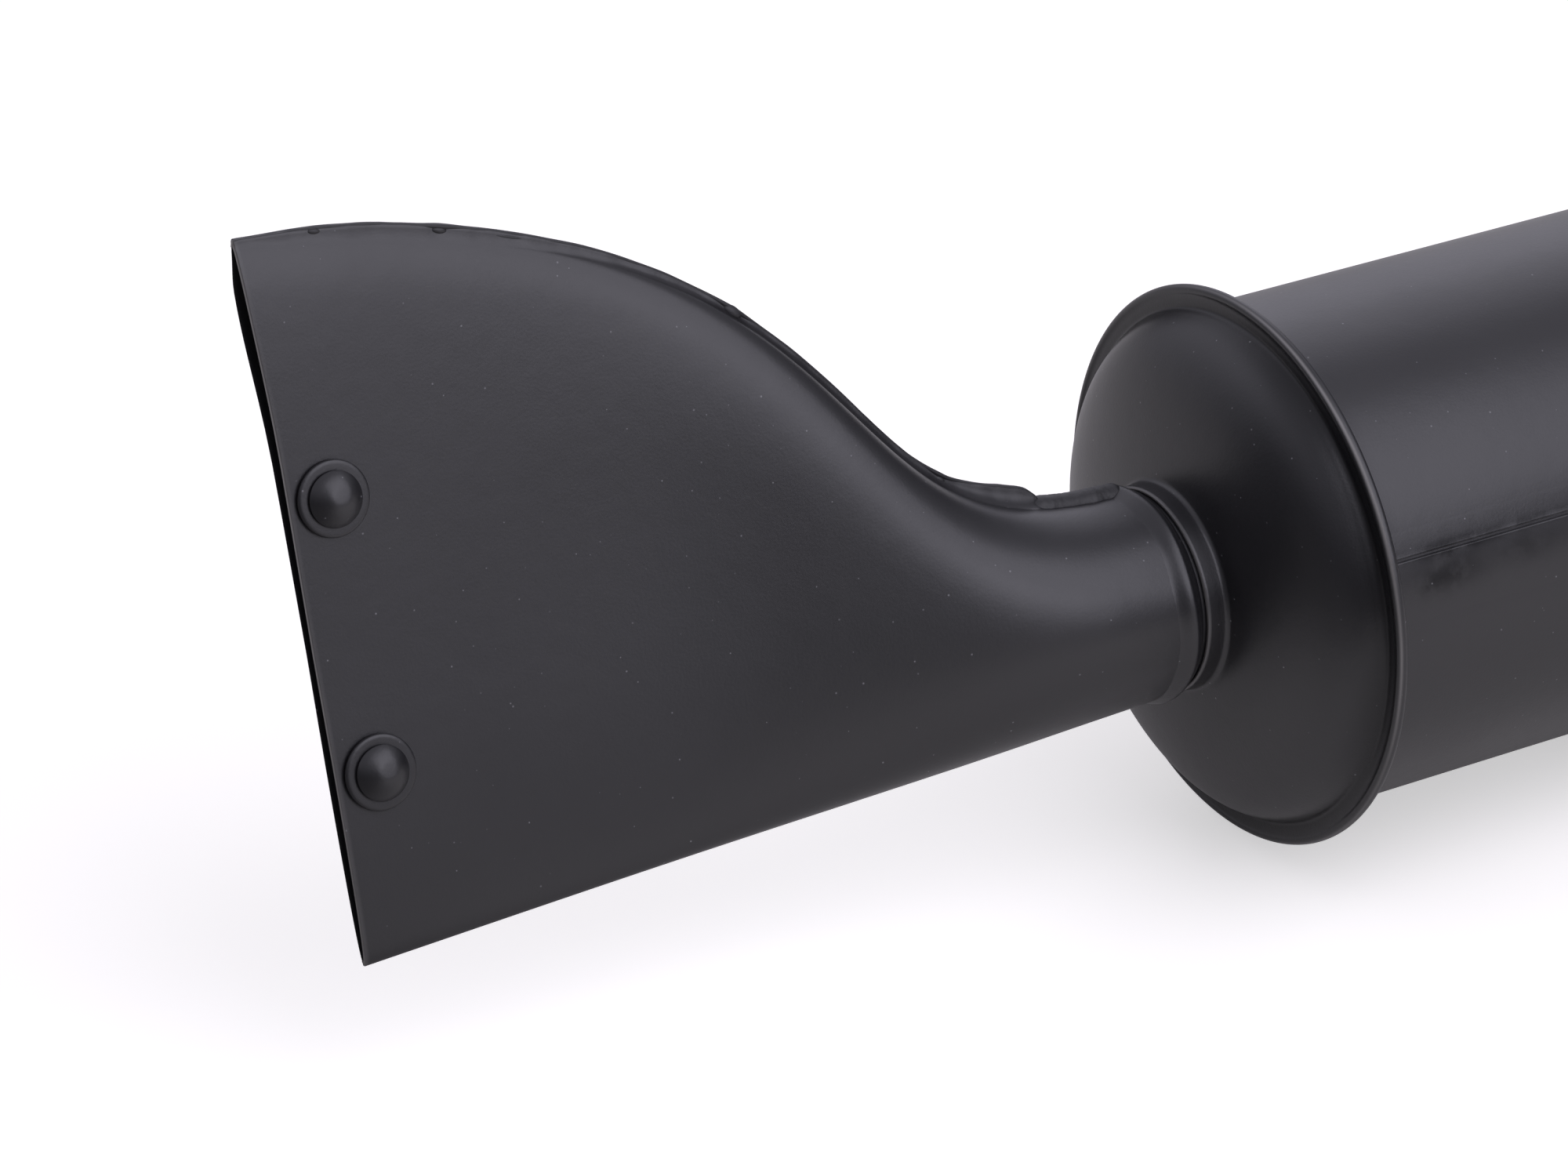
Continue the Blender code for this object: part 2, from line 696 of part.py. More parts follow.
CLAMP_X = INLET_END - CLAMP_SETBACK - CLAMP_WIDTH / 2
CLAMP_OUTER = CLAMP_BORE + CLAMP_WALL
CLAMP_BOLT_Z = CLAMP_OUTER + CLAMP_BOLT_HEIGHT
CLAMP_EAR_FACE = CLAMP_GAP / 2 + CLAMP_WALL


def make_clamp_band(axis):
    """Band round the inlet with two ears for the bolt."""
    half_gap, ear = CLAMP_GAP / 2, CLAMP_EAR_FACE
    top = CLAMP_OUTER + CLAMP_EAR_HEIGHT
    inner = math.degrees(math.acos(half_gap / CLAMP_BORE))
    outer = math.degrees(math.acos(ear / CLAMP_OUTER))
    outline = arc((0, 0), CLAMP_BORE, inner, -180 - inner, CLAMP_ARC_POINTS)
    outline += [(-half_gap, top), (-ear, top)]
    outline += arc((0, 0), CLAMP_OUTER, -180 - outer, outer, CLAMP_ARC_POINTS)
    outline += [(ear, top), (half_gap, top)]
    mesh = flat_outline("clamp_band", outline, CLAMP_WIDTH)
    band = add_part("clamp_band", mesh, "zinc_plate", axis, turn=ACROSS_X)
    place = [((0, 0, CLAMP_BOLT_Z), (0, 1, 0))]
    hole = rods("clamp_bolt_hole", place, CLAMP_BOLT_RADIUS + CLEARANCE, 4 * CLAMP_EAR_FACE, axis, SMALL_STEPS)
    combine(band, hole, "DIFFERENCE")


def make_clamp_bolt(axis):
    """Hexagon bolt through the ears."""
    head_seat = CLAMP_EAR_FACE + CLEARANCE
    nut_end = head_seat + CLAMP_WASHER_THICKNESS + CLEARANCE + CLAMP_NUT_HEIGHT
    length = head_seat + nut_end + CLAMP_NUT_TRAVEL + CLAMP_BOLT_SPARE
    mesh = hexagon("clamp_bolt", CLAMP_HEX_FLATS, CLAMP_BOLT_HEAD)
    start = (0, -head_seat - CLAMP_BOLT_HEAD, CLAMP_BOLT_Z)
    bolt = add_part("clamp_bolt", mesh, "zinc_plate", axis, start, ALONG_Y)
    middle = Vector(start) + Vector((0, CLAMP_BOLT_HEAD + (length - CLAMP_BOLT_HEAD / 2) / 2, 0))
    reach = length + CLAMP_BOLT_HEAD / 2
    shank = rods("clamp_shank", [(middle, (0, 1, 0))], CLAMP_BOLT_RADIUS, reach, axis, SMALL_STEPS)
    combine(bolt, shank, "UNION")


def make_clamp_nut(axis):
    """Washer on one ear and the nut that turns against it."""
    bore = CLAMP_BOLT_RADIUS + CLEARANCE
    washer_face = CLAMP_EAR_FACE + CLEARANCE
    nut_face = washer_face + CLAMP_WASHER_THICKNESS + CLEARANCE
    section = ring_profile(washer_face, washer_face + CLAMP_WASHER_THICKNESS, bore, CLAMP_WASHER_RADIUS)
    turned("clamp_washer", section, "zinc_plate", axis, (0, 0, CLAMP_BOLT_Z), ALONG_Y, SMALL_STEPS)
    mesh = hexagon("clamp_nut", CLAMP_HEX_FLATS, CLAMP_NUT_HEIGHT)
    nut = add_part("clamp_nut", mesh, "zinc_plate", axis, (0, nut_face, CLAMP_BOLT_Z), ALONG_Y)
    place = [((0, nut_face, CLAMP_BOLT_Z), (0, 1, 0))]
    thread = rods("clamp_nut_bore", place, bore, 4 * CLAMP_NUT_HEIGHT, axis, SMALL_STEPS)
    combine(nut, thread, "DIFFERENCE")


# Mounting channel, in the world frame with its sole on z = 0

def make_channel():
    """Folded channel under the can, its side walls shaped to the can, with two bolt holes."""
    half, wall, bend = CHANNEL_WIDTH / 2, CHANNEL_SHEET, CHANNEL_BEND_RADIUS
    reach = CAN_RADIUS + CLEARANCE

    def under_can(y):
        return AXIS_HEIGHT - math.sqrt(reach * reach - y * y)

    outer = bend + wall
    right = arc((half - outer, outer), outer, -90, 0)
    right += [(half, under_can(half)), (half - wall, under_can(half - wall))]
    right += arc((half - outer, outer), bend, 0, -90)
    left = [(-y, z) for y, z in right[::-1]]
    mesh = flat_outline("mounting_channel", right + left, CHANNEL_LENGTH)
    channel = add_part("mounting_channel", mesh, "satin_black", None, turn=ACROSS_X)
    places = [((x, 0, 0), (0, 0, 1)) for x in CHANNEL_BOLTS]
    hole = CHANNEL_BOLT_RADIUS + CLEARANCE
    holes = rods("channel_bolt_holes", places, hole, 4 * wall, None, SMALL_STEPS)
    combine(channel, holes, "DIFFERENCE")


CHANNEL_BOLTS = (CHANNEL_BOLT_SETBACK - CHANNEL_LENGTH / 2, CHANNEL_LENGTH / 2 - CHANNEL_BOLT_SETBACK)


def make_channel_nut(name, x):
    """Welded nut over one of the channel's bolt holes."""
    seat = (x, 0, CHANNEL_SHEET + CLEARANCE)
    mesh = hexagon(name, CHANNEL_NUT_FLATS, CHANNEL_NUT_HEIGHT)
    nut = add_part(name, mesh, "zinc_plate", None, seat, (0, -90, 0))
    thread = rods(name + "_bore", [(seat, (0, 0, 1))], CHANNEL_BOLT_RADIUS, 4 * CHANNEL_NUT_HEIGHT, None,
                  SMALL_STEPS)
    combine(nut, thread, "DIFFERENCE")


def main():
    axis = new_empty("can_axis", None, (0, 0, AXIS_HEIGHT))
    make_can(axis)
    make_cap("rear_end_cap", axis, REAR_RIM, -1, TAIL_PIPE_RADIUS)
    make_cap("front_end_cap", axis, FRONT_RIM, 1, INLET_NECK_RADIUS)
    make_neck_bead("tail_neck_weld", axis, REAR_RIM - TAIL_START, -1, TAIL_PIPE_RADIUS)
    inlet_bead = FRONT_RIM + neck_end(INLET_NECK_RADIUS) + CLEARANCE
    make_neck_bead("inlet_neck_weld", axis, inlet_bead, 1, INLET_RADIUS)

    plane = new_empty("tail_plane", axis, (REAR_RIM, 0, 0), TAIL_ROLL)
    make_tail(plane)
    make_seam_bead(plane)
    for level, height in (("upper", RIVET_UPPER), ("lower", RIVET_LOWER)):
        make_rivet(level + "_rivet", plane, height)
        make_spacer(level + "_spacer", plane, height)
        make_washer(level + "_washer_near", plane, height, -1)
        make_washer(level + "_washer_far", plane, height, 1)

    make_outlet(axis)
    make_inlet(axis)
    outlet_hole, inlet_hole = OUTLET_RADIUS + CLEARANCE, INLET_RADIUS + CLEARANCE
    make_baffle("rear_baffle", axis, REAR_RIM + REAR_BAFFLE_PLACE, -1, outlet_hole)
    make_baffle("middle_baffle", axis, REAR_RIM + OUTLET_DEPTH + MIDDLE_BAFFLE_GAP, 1, 0.0)
    make_baffle("front_baffle", axis, FRONT_RIM - FRONT_BAFFLE_PLACE, 1, inlet_hole)

    clamp = new_empty("clamp_axis", axis, (CLAMP_X, 0, 0), CLAMP_ROLL)
    make_clamp_band(clamp)
    make_clamp_bolt(clamp)
    make_clamp_nut(clamp)

    make_channel()
    for name, x in zip(("rear_channel_nut", "front_channel_nut"), CHANNEL_BOLTS):
        make_channel_nut(name, x)


clear_scene()
PARTS = new_collection("fishtail_silencer")
CUTTERS = new_collection("cutters")
main()
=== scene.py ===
"""Looks of a fishtail exhaust silencer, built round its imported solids.

Laid out as an add-on and run as a script. Metres, +Z up. X runs along the can's axis: the tail's
mouth is towards -X and the inlet towards +X.
"""

import json
import math

import bmesh
import bpy
import numpy as np
from bpy.props import FloatProperty, FloatVectorProperty, IntProperty, PointerProperty
from mathutils import Matrix, Vector


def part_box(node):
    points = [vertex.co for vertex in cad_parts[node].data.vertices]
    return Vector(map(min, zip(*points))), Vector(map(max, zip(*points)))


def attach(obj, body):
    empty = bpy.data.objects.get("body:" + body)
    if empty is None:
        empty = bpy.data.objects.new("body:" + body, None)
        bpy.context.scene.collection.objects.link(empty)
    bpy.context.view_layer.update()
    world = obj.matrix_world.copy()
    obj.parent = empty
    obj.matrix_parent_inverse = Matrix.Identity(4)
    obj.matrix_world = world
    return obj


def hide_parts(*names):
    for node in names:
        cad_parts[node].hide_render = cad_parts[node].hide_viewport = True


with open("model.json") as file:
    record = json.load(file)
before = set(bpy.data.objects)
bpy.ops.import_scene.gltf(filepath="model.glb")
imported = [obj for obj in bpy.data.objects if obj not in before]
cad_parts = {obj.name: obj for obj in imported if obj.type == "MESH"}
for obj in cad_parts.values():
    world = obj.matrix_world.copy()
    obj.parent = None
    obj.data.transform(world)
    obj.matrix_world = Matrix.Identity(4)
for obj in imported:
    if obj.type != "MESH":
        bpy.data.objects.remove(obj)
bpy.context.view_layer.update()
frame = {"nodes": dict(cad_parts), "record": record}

bl_info = {
    "name": "Fishtail Silencer",
    "version": (1, 0, 0),
    "blender": (4, 5, 0),
    "location": "View3D > Sidebar > Silencer",
    "description": "Builds the visible pieces of a fishtail exhaust silencer round its solids",
    "category": "Add Mesh",
}

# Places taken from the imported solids

REAR_CAP_LOW, REAR_CAP_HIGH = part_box("rear_end_cap")
FRONT_CAP_LOW, FRONT_CAP_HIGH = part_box("front_end_cap")
TAIL_LOW, TAIL_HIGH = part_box("tail_shell")
AXIS_HEIGHT = (REAR_CAP_LOW.z + REAR_CAP_HIGH.z) / 2
RIM_RADIUS = (REAR_CAP_HIGH.z - REAR_CAP_LOW.z) / 2

# Gaps between pieces: on a face, and round what sits in a hole
TOUCH = 0.0001
FIT = 0.0003


def middle_of(node):
    """Middle of a solid's box."""
    low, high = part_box(node)
    return (low + high) / 2


def radius_of(node):
    """Radius of a solid that is round about the can's axis."""
    low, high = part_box(node)
    return (high.z - low.z) / 2


# Sizes and colours that a user would change


def length(name, default, description):
    """A size in metres."""
    return FloatProperty(name=name, description=description, default=default, unit="LENGTH", precision=4)


def angle(name, degrees, description):
    """An angle, written in degrees."""
    return FloatProperty(name=name, description=description, default=math.radians(degrees), subtype="ANGLE")


def share(name, default, description):
    """A plain number."""
    return FloatProperty(name=name, description=description, default=default, precision=3)


def colour(name, default, description):
    """A colour."""
    return FloatVectorProperty(name=name, description=description, default=default, size=3, subtype="COLOR",
                               min=0.0, max=1.0)


class CanSizes(bpy.types.PropertyGroup):
    """Sizes of the can and its end caps."""
    radius: length("Can Radius", 0.054, "Outside radius of the rolled can")
    sheet: length("Sheet", 0.001, "Thickness of the sheet")
    hem_sheet: length("Hem Sheet", 0.0008, "Thickness of the layers rolled together at the rim")
    brim: length("Brim", 0.0012, "Height of a cap's brim above the middle of the rim")
    brim_reach: length("Brim Reach", 0.0020, "How softly the dome runs into the brim")
    roll_radius: length("Roll Radius", 0.0012, "Radius of the roll at the rim's edge")
    dome_depth: length("Dome Depth", 0.0171, "Height of a cap's dome above its brim")
    dome_fullness: share("Dome Fullness", 2.1, "2 is round, more is squarer")
    neck_height: length("Neck Height", 0.005, "Height of a cap's neck lip")
    neck_fillet: length("Neck Fillet", 0.0012, "Radius at the foot of the neck")
    lap_angle: angle("Lap Angle", 66.7, "Place of the lap seam, from the top towards the near side")
    lap_step: length("Lap Step", 0.0007, "How proud the overlapping edge stands")
    weld_pitch: length("Weld Pitch", 0.013, "Distance between the spot welds along the lap")


class TailSizes(bpy.types.PropertyGroup):
    """Sizes of the fishtail."""
    roll: angle("Roll", -17.0, "How far the tail leans over, about the can's axis")
    pipe_radius: length("Pipe Radius", 0.022, "Outside radius of the tail's round end")
    round_length: length("Round Length", 0.018, "Length that stays round at the neck")
    mouth_top: length("Mouth Top", 0.115, "Top of the mouth above the can's axis, up the tail")
    mouth_bottom: length("Mouth Bottom", 0.029, "Bottom of the mouth below the can's axis")
    mouth_half: length("Mouth Half", 0.0028, "Half the thickness of the mouth")
    mouth_land: length("Mouth Land", 0.022, "Length of the flat part behind the mouth")
    squareness: share("Mouth Squareness", 4.0, "2 is an ellipse, more is squarer")
    line_start: length("Top Line Start", 0.0035, "Where the top line starts to rise")
    pipe_pull: share("Pipe Pull", 0.44, "Pull of the top line's curve at the pipe")
    mouth_pull: share("Mouth Pull", 0.81, "Pull of the top line's curve at the mouth")
    mouth_drop: length("Mouth Drop", 0.020, "Fall of the top line's handle at the mouth")
    flattening: share("Flattening", 1.5, "How early the section goes flat")


class SeamSizes(bpy.types.PropertyGroup):
    """Sizes of the standing seam on the tail and of the weld beads."""
    half: length("Seam Half", 0.0012, "Half the thickness of the two turned-up edges")
    height: share("Seam Height", 1.0, "Height of the turned-up edges, as a share of the drawn one")
    fillet: length("Seam Fillet", 0.0022, "Radius at the foot of the turned-up edges")
    end: length("Seam End", 0.0448, "Where the turned-up edges stop, behind the rear rim")
    crest_height: length("Crest Bead Height", 0.0005, "Height of the bead on top of the turned-up edges")
    bead_width: length("Neck Bead Width", 0.0072, "Width of the beads round the necks")
    bead_height: length("Neck Bead Height", 0.0014, "Height of the beads round the necks")


class RivetSizes(bpy.types.PropertyGroup):
    """Sizes of the rivets through the mouth."""
    shank: length("Shank Radius", 0.003, "Radius of a rivet's shank")
    head_radius: length("Head Radius", 0.0056, "Radius of a rivet's head")
    head_height: length("Head Height", 0.0024, "Height of a rivet's head")
    washer_radius: length("Washer Radius", 0.0076, "Radius of the washer under a head")
    washer_thickness: length("Washer Thickness", 0.0011, "Thickness of the washer under a head")
    seed: IntProperty(name="Seed", description="Turns each hammered head its own way", default=3)


class TubeSizes(bpy.types.PropertyGroup):
    """Sizes of the inlet and outlet tubes and of the plates across the can."""
    inlet_wall: length("Inlet Wall", 0.0015, "Thickness of the inlet tube")
    outlet_wall: length("Outlet Wall", 0.0012, "Thickness of the outlet tube")
    slot_width: length("Slot Width", 0.0025, "Width of the slots in the inlet's open end")
    slot_length: length("Slot Length", 0.026, "Length of the slots in the inlet's open end")
    hole_radius: length("Hole Radius", 0.0026, "Radius of the gas holes in the tubes")
    hole_pitch: length("Hole Pitch", 0.0125, "Distance between rows of gas holes")
    hole_margin: length("Hole Margin", 0.014, "From a rim to the first row of gas holes")
    holes_round: IntProperty(name="Holes Round", description="Gas holes in each row", default=10)
    plate_wall: length("Plate Wall", 0.0012, "Thickness of the plates and cups inside")
    plate_hole: length("Plate Hole", 0.006, "Radius of the gas holes in the plates")


class ClampSizes(bpy.types.PropertyGroup):
    """Sizes of the inlet clamp."""
    wall: length("Band Wall", 0.0015, "Thickness of the clamp's band")
    gap: length("Gap", 0.006, "Gap between the clamp's ears")
    bend: length("Ear Bend", 0.0025, "Radius where the band turns into an ear")
    bolt_radius: length("Bolt Radius", 0.003, "Radius of the clamp's bolt")
    flats: length("Flats", 0.010, "Across the flats of the bolt's head and the nut")
    pitch: length("Pitch", 0.001, "Pitch of the bolt's thread")


class ChannelSizes(bpy.types.PropertyGroup):
    """Sizes of the mounting channel."""
    sheet: length("Channel Sheet", 0.0025, "Thickness of the channel")
    bend: length("Channel Bend", 0.002, "Inside radius of the channel's bends")
    bolt_radius: length("Channel Bolt Radius", 0.004, "Radius of the bolts that hold the channel")
    weld_length: length("Weld Length", 0.026, "Length of each weld between the channel and the can")


class FinishLook(bpy.types.PropertyGroup):
    """Colours of the finishes."""
    paint: colour("Paint", (0.0085, 0.0083, 0.0095), "Satin black paint")
    paint_gloss: share("Paint Gloss", 0.62, "Strength of the paint's shine")
    # Also sets how strongly the painted highlights on the caps' rolls and the mouth's edge show as bare steel
    edge_wear: share("Edge Wear", 0.85, "How far rubbed edges show the steel")
    dust: colour("Dust", (0.20, 0.20, 0.21), "Specks of dust on the paint")
    steel: colour("Bare Steel", (0.34, 0.33, 0.32), "Bare sheet steel inside")
    zinc: colour("Zinc", (0.55, 0.55, 0.53), "Zinc plate on the clamp and nuts")


class StageLook(bpy.types.PropertyGroup):
    """Camera, floor and light."""
    lens: FloatProperty(name="Lens", description="Focal length on a 36 mm sensor", default=144.0)
    camera: FloatVectorProperty(name="Camera", description="Where the camera stands", size=3,
                                default=(-0.8382, -0.9446, 0.6630), subtype="TRANSLATION", unit="LENGTH")
    ahead: FloatVectorProperty(name="Ahead", description="Direction the camera looks in", size=3,
                               default=(0.45726, 0.75972, -0.46232), subtype="DIRECTION")
    floor: colour("Floor", (0.86, 0.84, 0.79), "Floor and backdrop")
    lamp_power: share("Lamp Power", 5.4, "Watts for each square metre of soft light")
    floor_glow: share("Floor Glow", 0.46, "Light the camera sees from the floor, which makes it white")


class SilencerSettings(bpy.types.PropertyGroup):
    """All the silencer's settings."""
    can: PointerProperty(type=CanSizes)
    tail: PointerProperty(type=TailSizes)
    seam: PointerProperty(type=SeamSizes)
    rivet: PointerProperty(type=RivetSizes)
    tube: PointerProperty(type=TubeSizes)
    clamp: PointerProperty(type=ClampSizes)
    channel: PointerProperty(type=ChannelSizes)
    finish: PointerProperty(type=FinishLook)
    stage: PointerProperty(type=StageLook)


def settings():
    """The scene's silencer settings."""
    return bpy.context.scene.silencer


# Meshes


def ease(part):
    """Smooth step from 0 to 1."""
    part = np.clip(part, 0.0, 1.0)
    return part * part * (3 - 2 * part)


def bell(value, middle, reach):
    """Smooth hump round a middle, 1 at its top."""
    return np.exp(-((value - middle) / reach) ** 2)


def bent(start, corner, end, part):
    """Point at a share of the way along a curve that is drawn towards a corner."""
    return (1 - part) ** 2 * start + 2 * part * (1 - part) * corner + part * part * end


def grid_mesh(name, rows, wrap_rows, wrap_columns):
    """A smooth mesh of quads from rows of points, closed round either way where asked."""
    rows = np.asarray(rows, float)
    count, across = rows.shape[:2]
    i, j = np.meshgrid(np.arange(count if wrap_rows else count - 1),
                       np.arange(across if wrap_columns else across - 1), indexing="ij")
    after, beside = (i + 1) % count, (j + 1) % across
    corners = (i * across + j, after * across + j, after * across + beside, i * across + beside)
    faces = np.stack(corners, -1).reshape(-1, 4)
    mesh = bpy.data.meshes.new(name)
    mesh.from_pydata(rows.reshape(-1, 3).tolist(), [], faces.tolist())
    return closed(mesh)


def closed(mesh):
    """Weld a mesh's seams and poles, turn its faces outwards and smooth it."""
    merge = 1e-6
    bm = bmesh.new()
    bm.from_mesh(mesh)
    bmesh.ops.remove_doubles(bm, verts=bm.verts, dist=merge)
    bmesh.ops.dissolve_degenerate(bm, edges=bm.edges, dist=merge / 10)
    bmesh.ops.recalc_face_normals(bm, faces=bm.faces)
    bm.to_mesh(mesh)
    bm.free()
    mesh.shade_smooth()
    return mesh


def mesh_from(bm, name):
    """A mesh of a bmesh with its faces outwards; the bmesh is freed."""
    bmesh.ops.recalc_face_normals(bm, faces=bm.faces)
    mesh = bpy.data.meshes.new(name)
    bm.to_mesh(mesh)
    bm.free()
    return mesh


def joined(name, *meshes):
    """Several meshes as one."""
    bm = bmesh.new()
    for mesh in meshes:
        bm.from_mesh(mesh)
    result = bpy.data.meshes.new(name)
    bm.to_mesh(result)
    bm.free()
    return closed(result)


def mark(mesh, name, values):
    """Write one value for each point of a mesh, for its finish to read."""
    attribute = mesh.attributes.new(name, "FLOAT", "POINT")
    attribute.data.foreach_set("value", np.asarray(values, dtype=np.float32).ravel())


def points_of(mesh):
    """A mesh's points as an array."""
    points = np.empty(len(mesh.vertices) * 3)
    mesh.vertices.foreach_get("co", points)
    return points.reshape(-1, 3)


def fill_ends(mesh):
    """A tube-like mesh with its open ends closed."""
    bm = bmesh.new()
    bm.from_mesh(mesh)
    bmesh.ops.holes_fill(bm, edges=[edge for edge in bm.edges if edge.is_boundary], sides=0)
    bmesh.ops.recalc_face_normals(bm, faces=bm.faces)
    bm.to_mesh(mesh)
    bm.free()
    mesh.shade_smooth()
    return mesh


def arc(centre, radius, start, end, points):
    """Points on an arc between two angles in degrees, both ends included."""
    turn = np.radians(np.linspace(start, end, points))
    return np.column_stack((centre[0] + radius * np.cos(turn), centre[1] + radius * np.sin(turn)))


def offset(line, distance):
    """A smooth open line of 2-D points moved to its left."""
    line = np.asarray(line, float)
    along = np.gradient(line, axis=0)
    along /= np.linalg.norm(along, axis=1)[:, None]
    return line + distance * np.column_stack((-along[:, 1], along[:, 0]))


def run_of(line):
    """Length along a line at each of its points."""
    return np.concatenate(([0], np.cumsum(np.linalg.norm(np.diff(line, axis=0), axis=1))))


def softened(outline, rounding, points):
    """A closed outline with each corner rounded by the same length where its sides allow it."""
    outline = [Vector(point) for point in outline]
    found = []
    for i, corner in enumerate(outline):
        before, after = outline[i - 1] - corner, outline[(i + 1) % len(outline)] - corner
        start = corner + before.normalized() * min(rounding, before.length / 2.2)
        end = corner + after.normalized() * min(rounding, after.length / 2.2)
        for step in range(points + 1):
            found.append(tuple(bent(start, corner, end, step / points)))
    return np.array(found)


def turned(name, profile, steps, place=None):
    """A closed profile of (along, radius) points turned about X, then put in its place."""
    turn = np.linspace(0, 2 * math.pi, steps, endpoint=False)
    profile = np.asarray(profile, float)
    radius = np.maximum(profile[:, 1], 0.0)
    rows = np.stack((np.broadcast_to(profile[:, 0], (steps, len(profile))),
                     np.outer(np.cos(turn), radius), np.outer(np.sin(turn), radius)), -1)
    mesh = grid_mesh(name, rows, True, True)
    mesh.transform(place or Matrix.Translation((0, 0, AXIS_HEIGHT)))
    return mesh


def linked(name, data):
    """A new object in the scene."""
    obj = bpy.data.objects.new(name, data)
    bpy.context.scene.collection.objects.link(obj)
    return obj


def add_piece(name, mesh, finish, body="silencer", nodes=()):
    """A finished piece that rides on a body and stands for its solids."""
    mesh.materials.clear()
    mesh.materials.append(finish)
    obj = linked(name, mesh)
    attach(obj, body)
    if nodes:
        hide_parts(*nodes)
    return obj


# Nodes


def add_node(tree, kind, inputs=None, **values):
    """A node with its settings, and its inputs linked or set by name or number."""
    made = tree.nodes.new(kind)
    for key, value in values.items():
        setattr(made, key, value)
    for key, value in (inputs or {}).items():
        if isinstance(value, bpy.types.NodeSocket):
            tree.links.new(value, made.inputs[key])
        else:
            made.inputs[key].default_value = value
    return made


def calc(tree, operation, *values):
    """Output of a math node."""
    return add_node(tree, "ShaderNodeMath", dict(enumerate(values)), operation=operation).outputs[0]


def new_tree(kind, name, inputs, outputs):
    """A node group with named sockets, and its input and output nodes."""
    tree = bpy.data.node_groups.new(name, kind)
    for socket_name, socket_kind in inputs:
        tree.interface.new_socket(socket_name, in_out="INPUT", socket_type="NodeSocket" + socket_kind)
    for socket_name, socket_kind in outputs:
        tree.interface.new_socket(socket_name, in_out="OUTPUT", socket_type="NodeSocket" + socket_kind)
    return tree, tree.nodes.new("NodeGroupInput").outputs, tree.nodes.new("NodeGroupOutput").inputs


def finish_tree(tree, geometry, given, out):
    """End a geometry tree with plain faces in the finish it is given."""
    plain = add_node(tree, "GeometryNodeRealizeInstances", {"Geometry": geometry.outputs[0]})
    done = add_node(tree, "GeometryNodeSetMaterial", {
        "Geometry": plain.outputs[0], "Material": given["Finish"]})
    tree.links.new(done.outputs[0], out[0])
    return tree


def facing_turn(tree):
    """Rotation that brings Z to each point's own facing."""
    facing = add_node(tree, "GeometryNodeInputNamedAttribute", {"Name": "facing"}, data_type="FLOAT_VECTOR")
    turn = add_node(tree, "FunctionNodeAlignRotationToVector", {"Vector": facing.outputs[0]}, axis="Z")
    return turn.outputs[0]


def grown(data, tree, **values):
    """The plain mesh that a geometry tree makes from some data; the objects it reads are removed."""
    obj = linked(data.name + "_guide", data)
    modifier = obj.modifiers.new("growth", "NODES")
    modifier.node_group = tree
    named = {item.name.replace(" ", "_").lower(): item.identifier
             for item in tree.interface.items_tree if item.in_out == "INPUT"}
    for key, value in values.items():
        modifier[named[key]] = value
    graph = bpy.context.evaluated_depsgraph_get()
    mesh = bpy.data.meshes.new_from_object(obj.evaluated_get(graph), depsgraph=graph)
    obj.modifiers.remove(modifier)
    for used in (obj, *values.values()):
        if isinstance(used, bpy.types.Object):
            bpy.data.objects.remove(used, do_unlink=True)
    if not mesh.polygons:
        raise RuntimeError(data.name + " grew no faces")
    return mesh


def path_curve(name, points, radii=None, cyclic=False):
    """A poly curve through points, with a relative radius at each."""
    curve = bpy.data.curves.new(name, "CURVE")
    curve.dimensions = "3D"
    spline = curve.splines.new("POLY")
    spline.points.add(len(points) - 1)
    for i, point in enumerate(spline.points):
        point.co = (*points[i], 1)
        point.radius = 1.0 if radii is None else radii[i]
    spline.use_cyclic_u = cyclic
    return curve


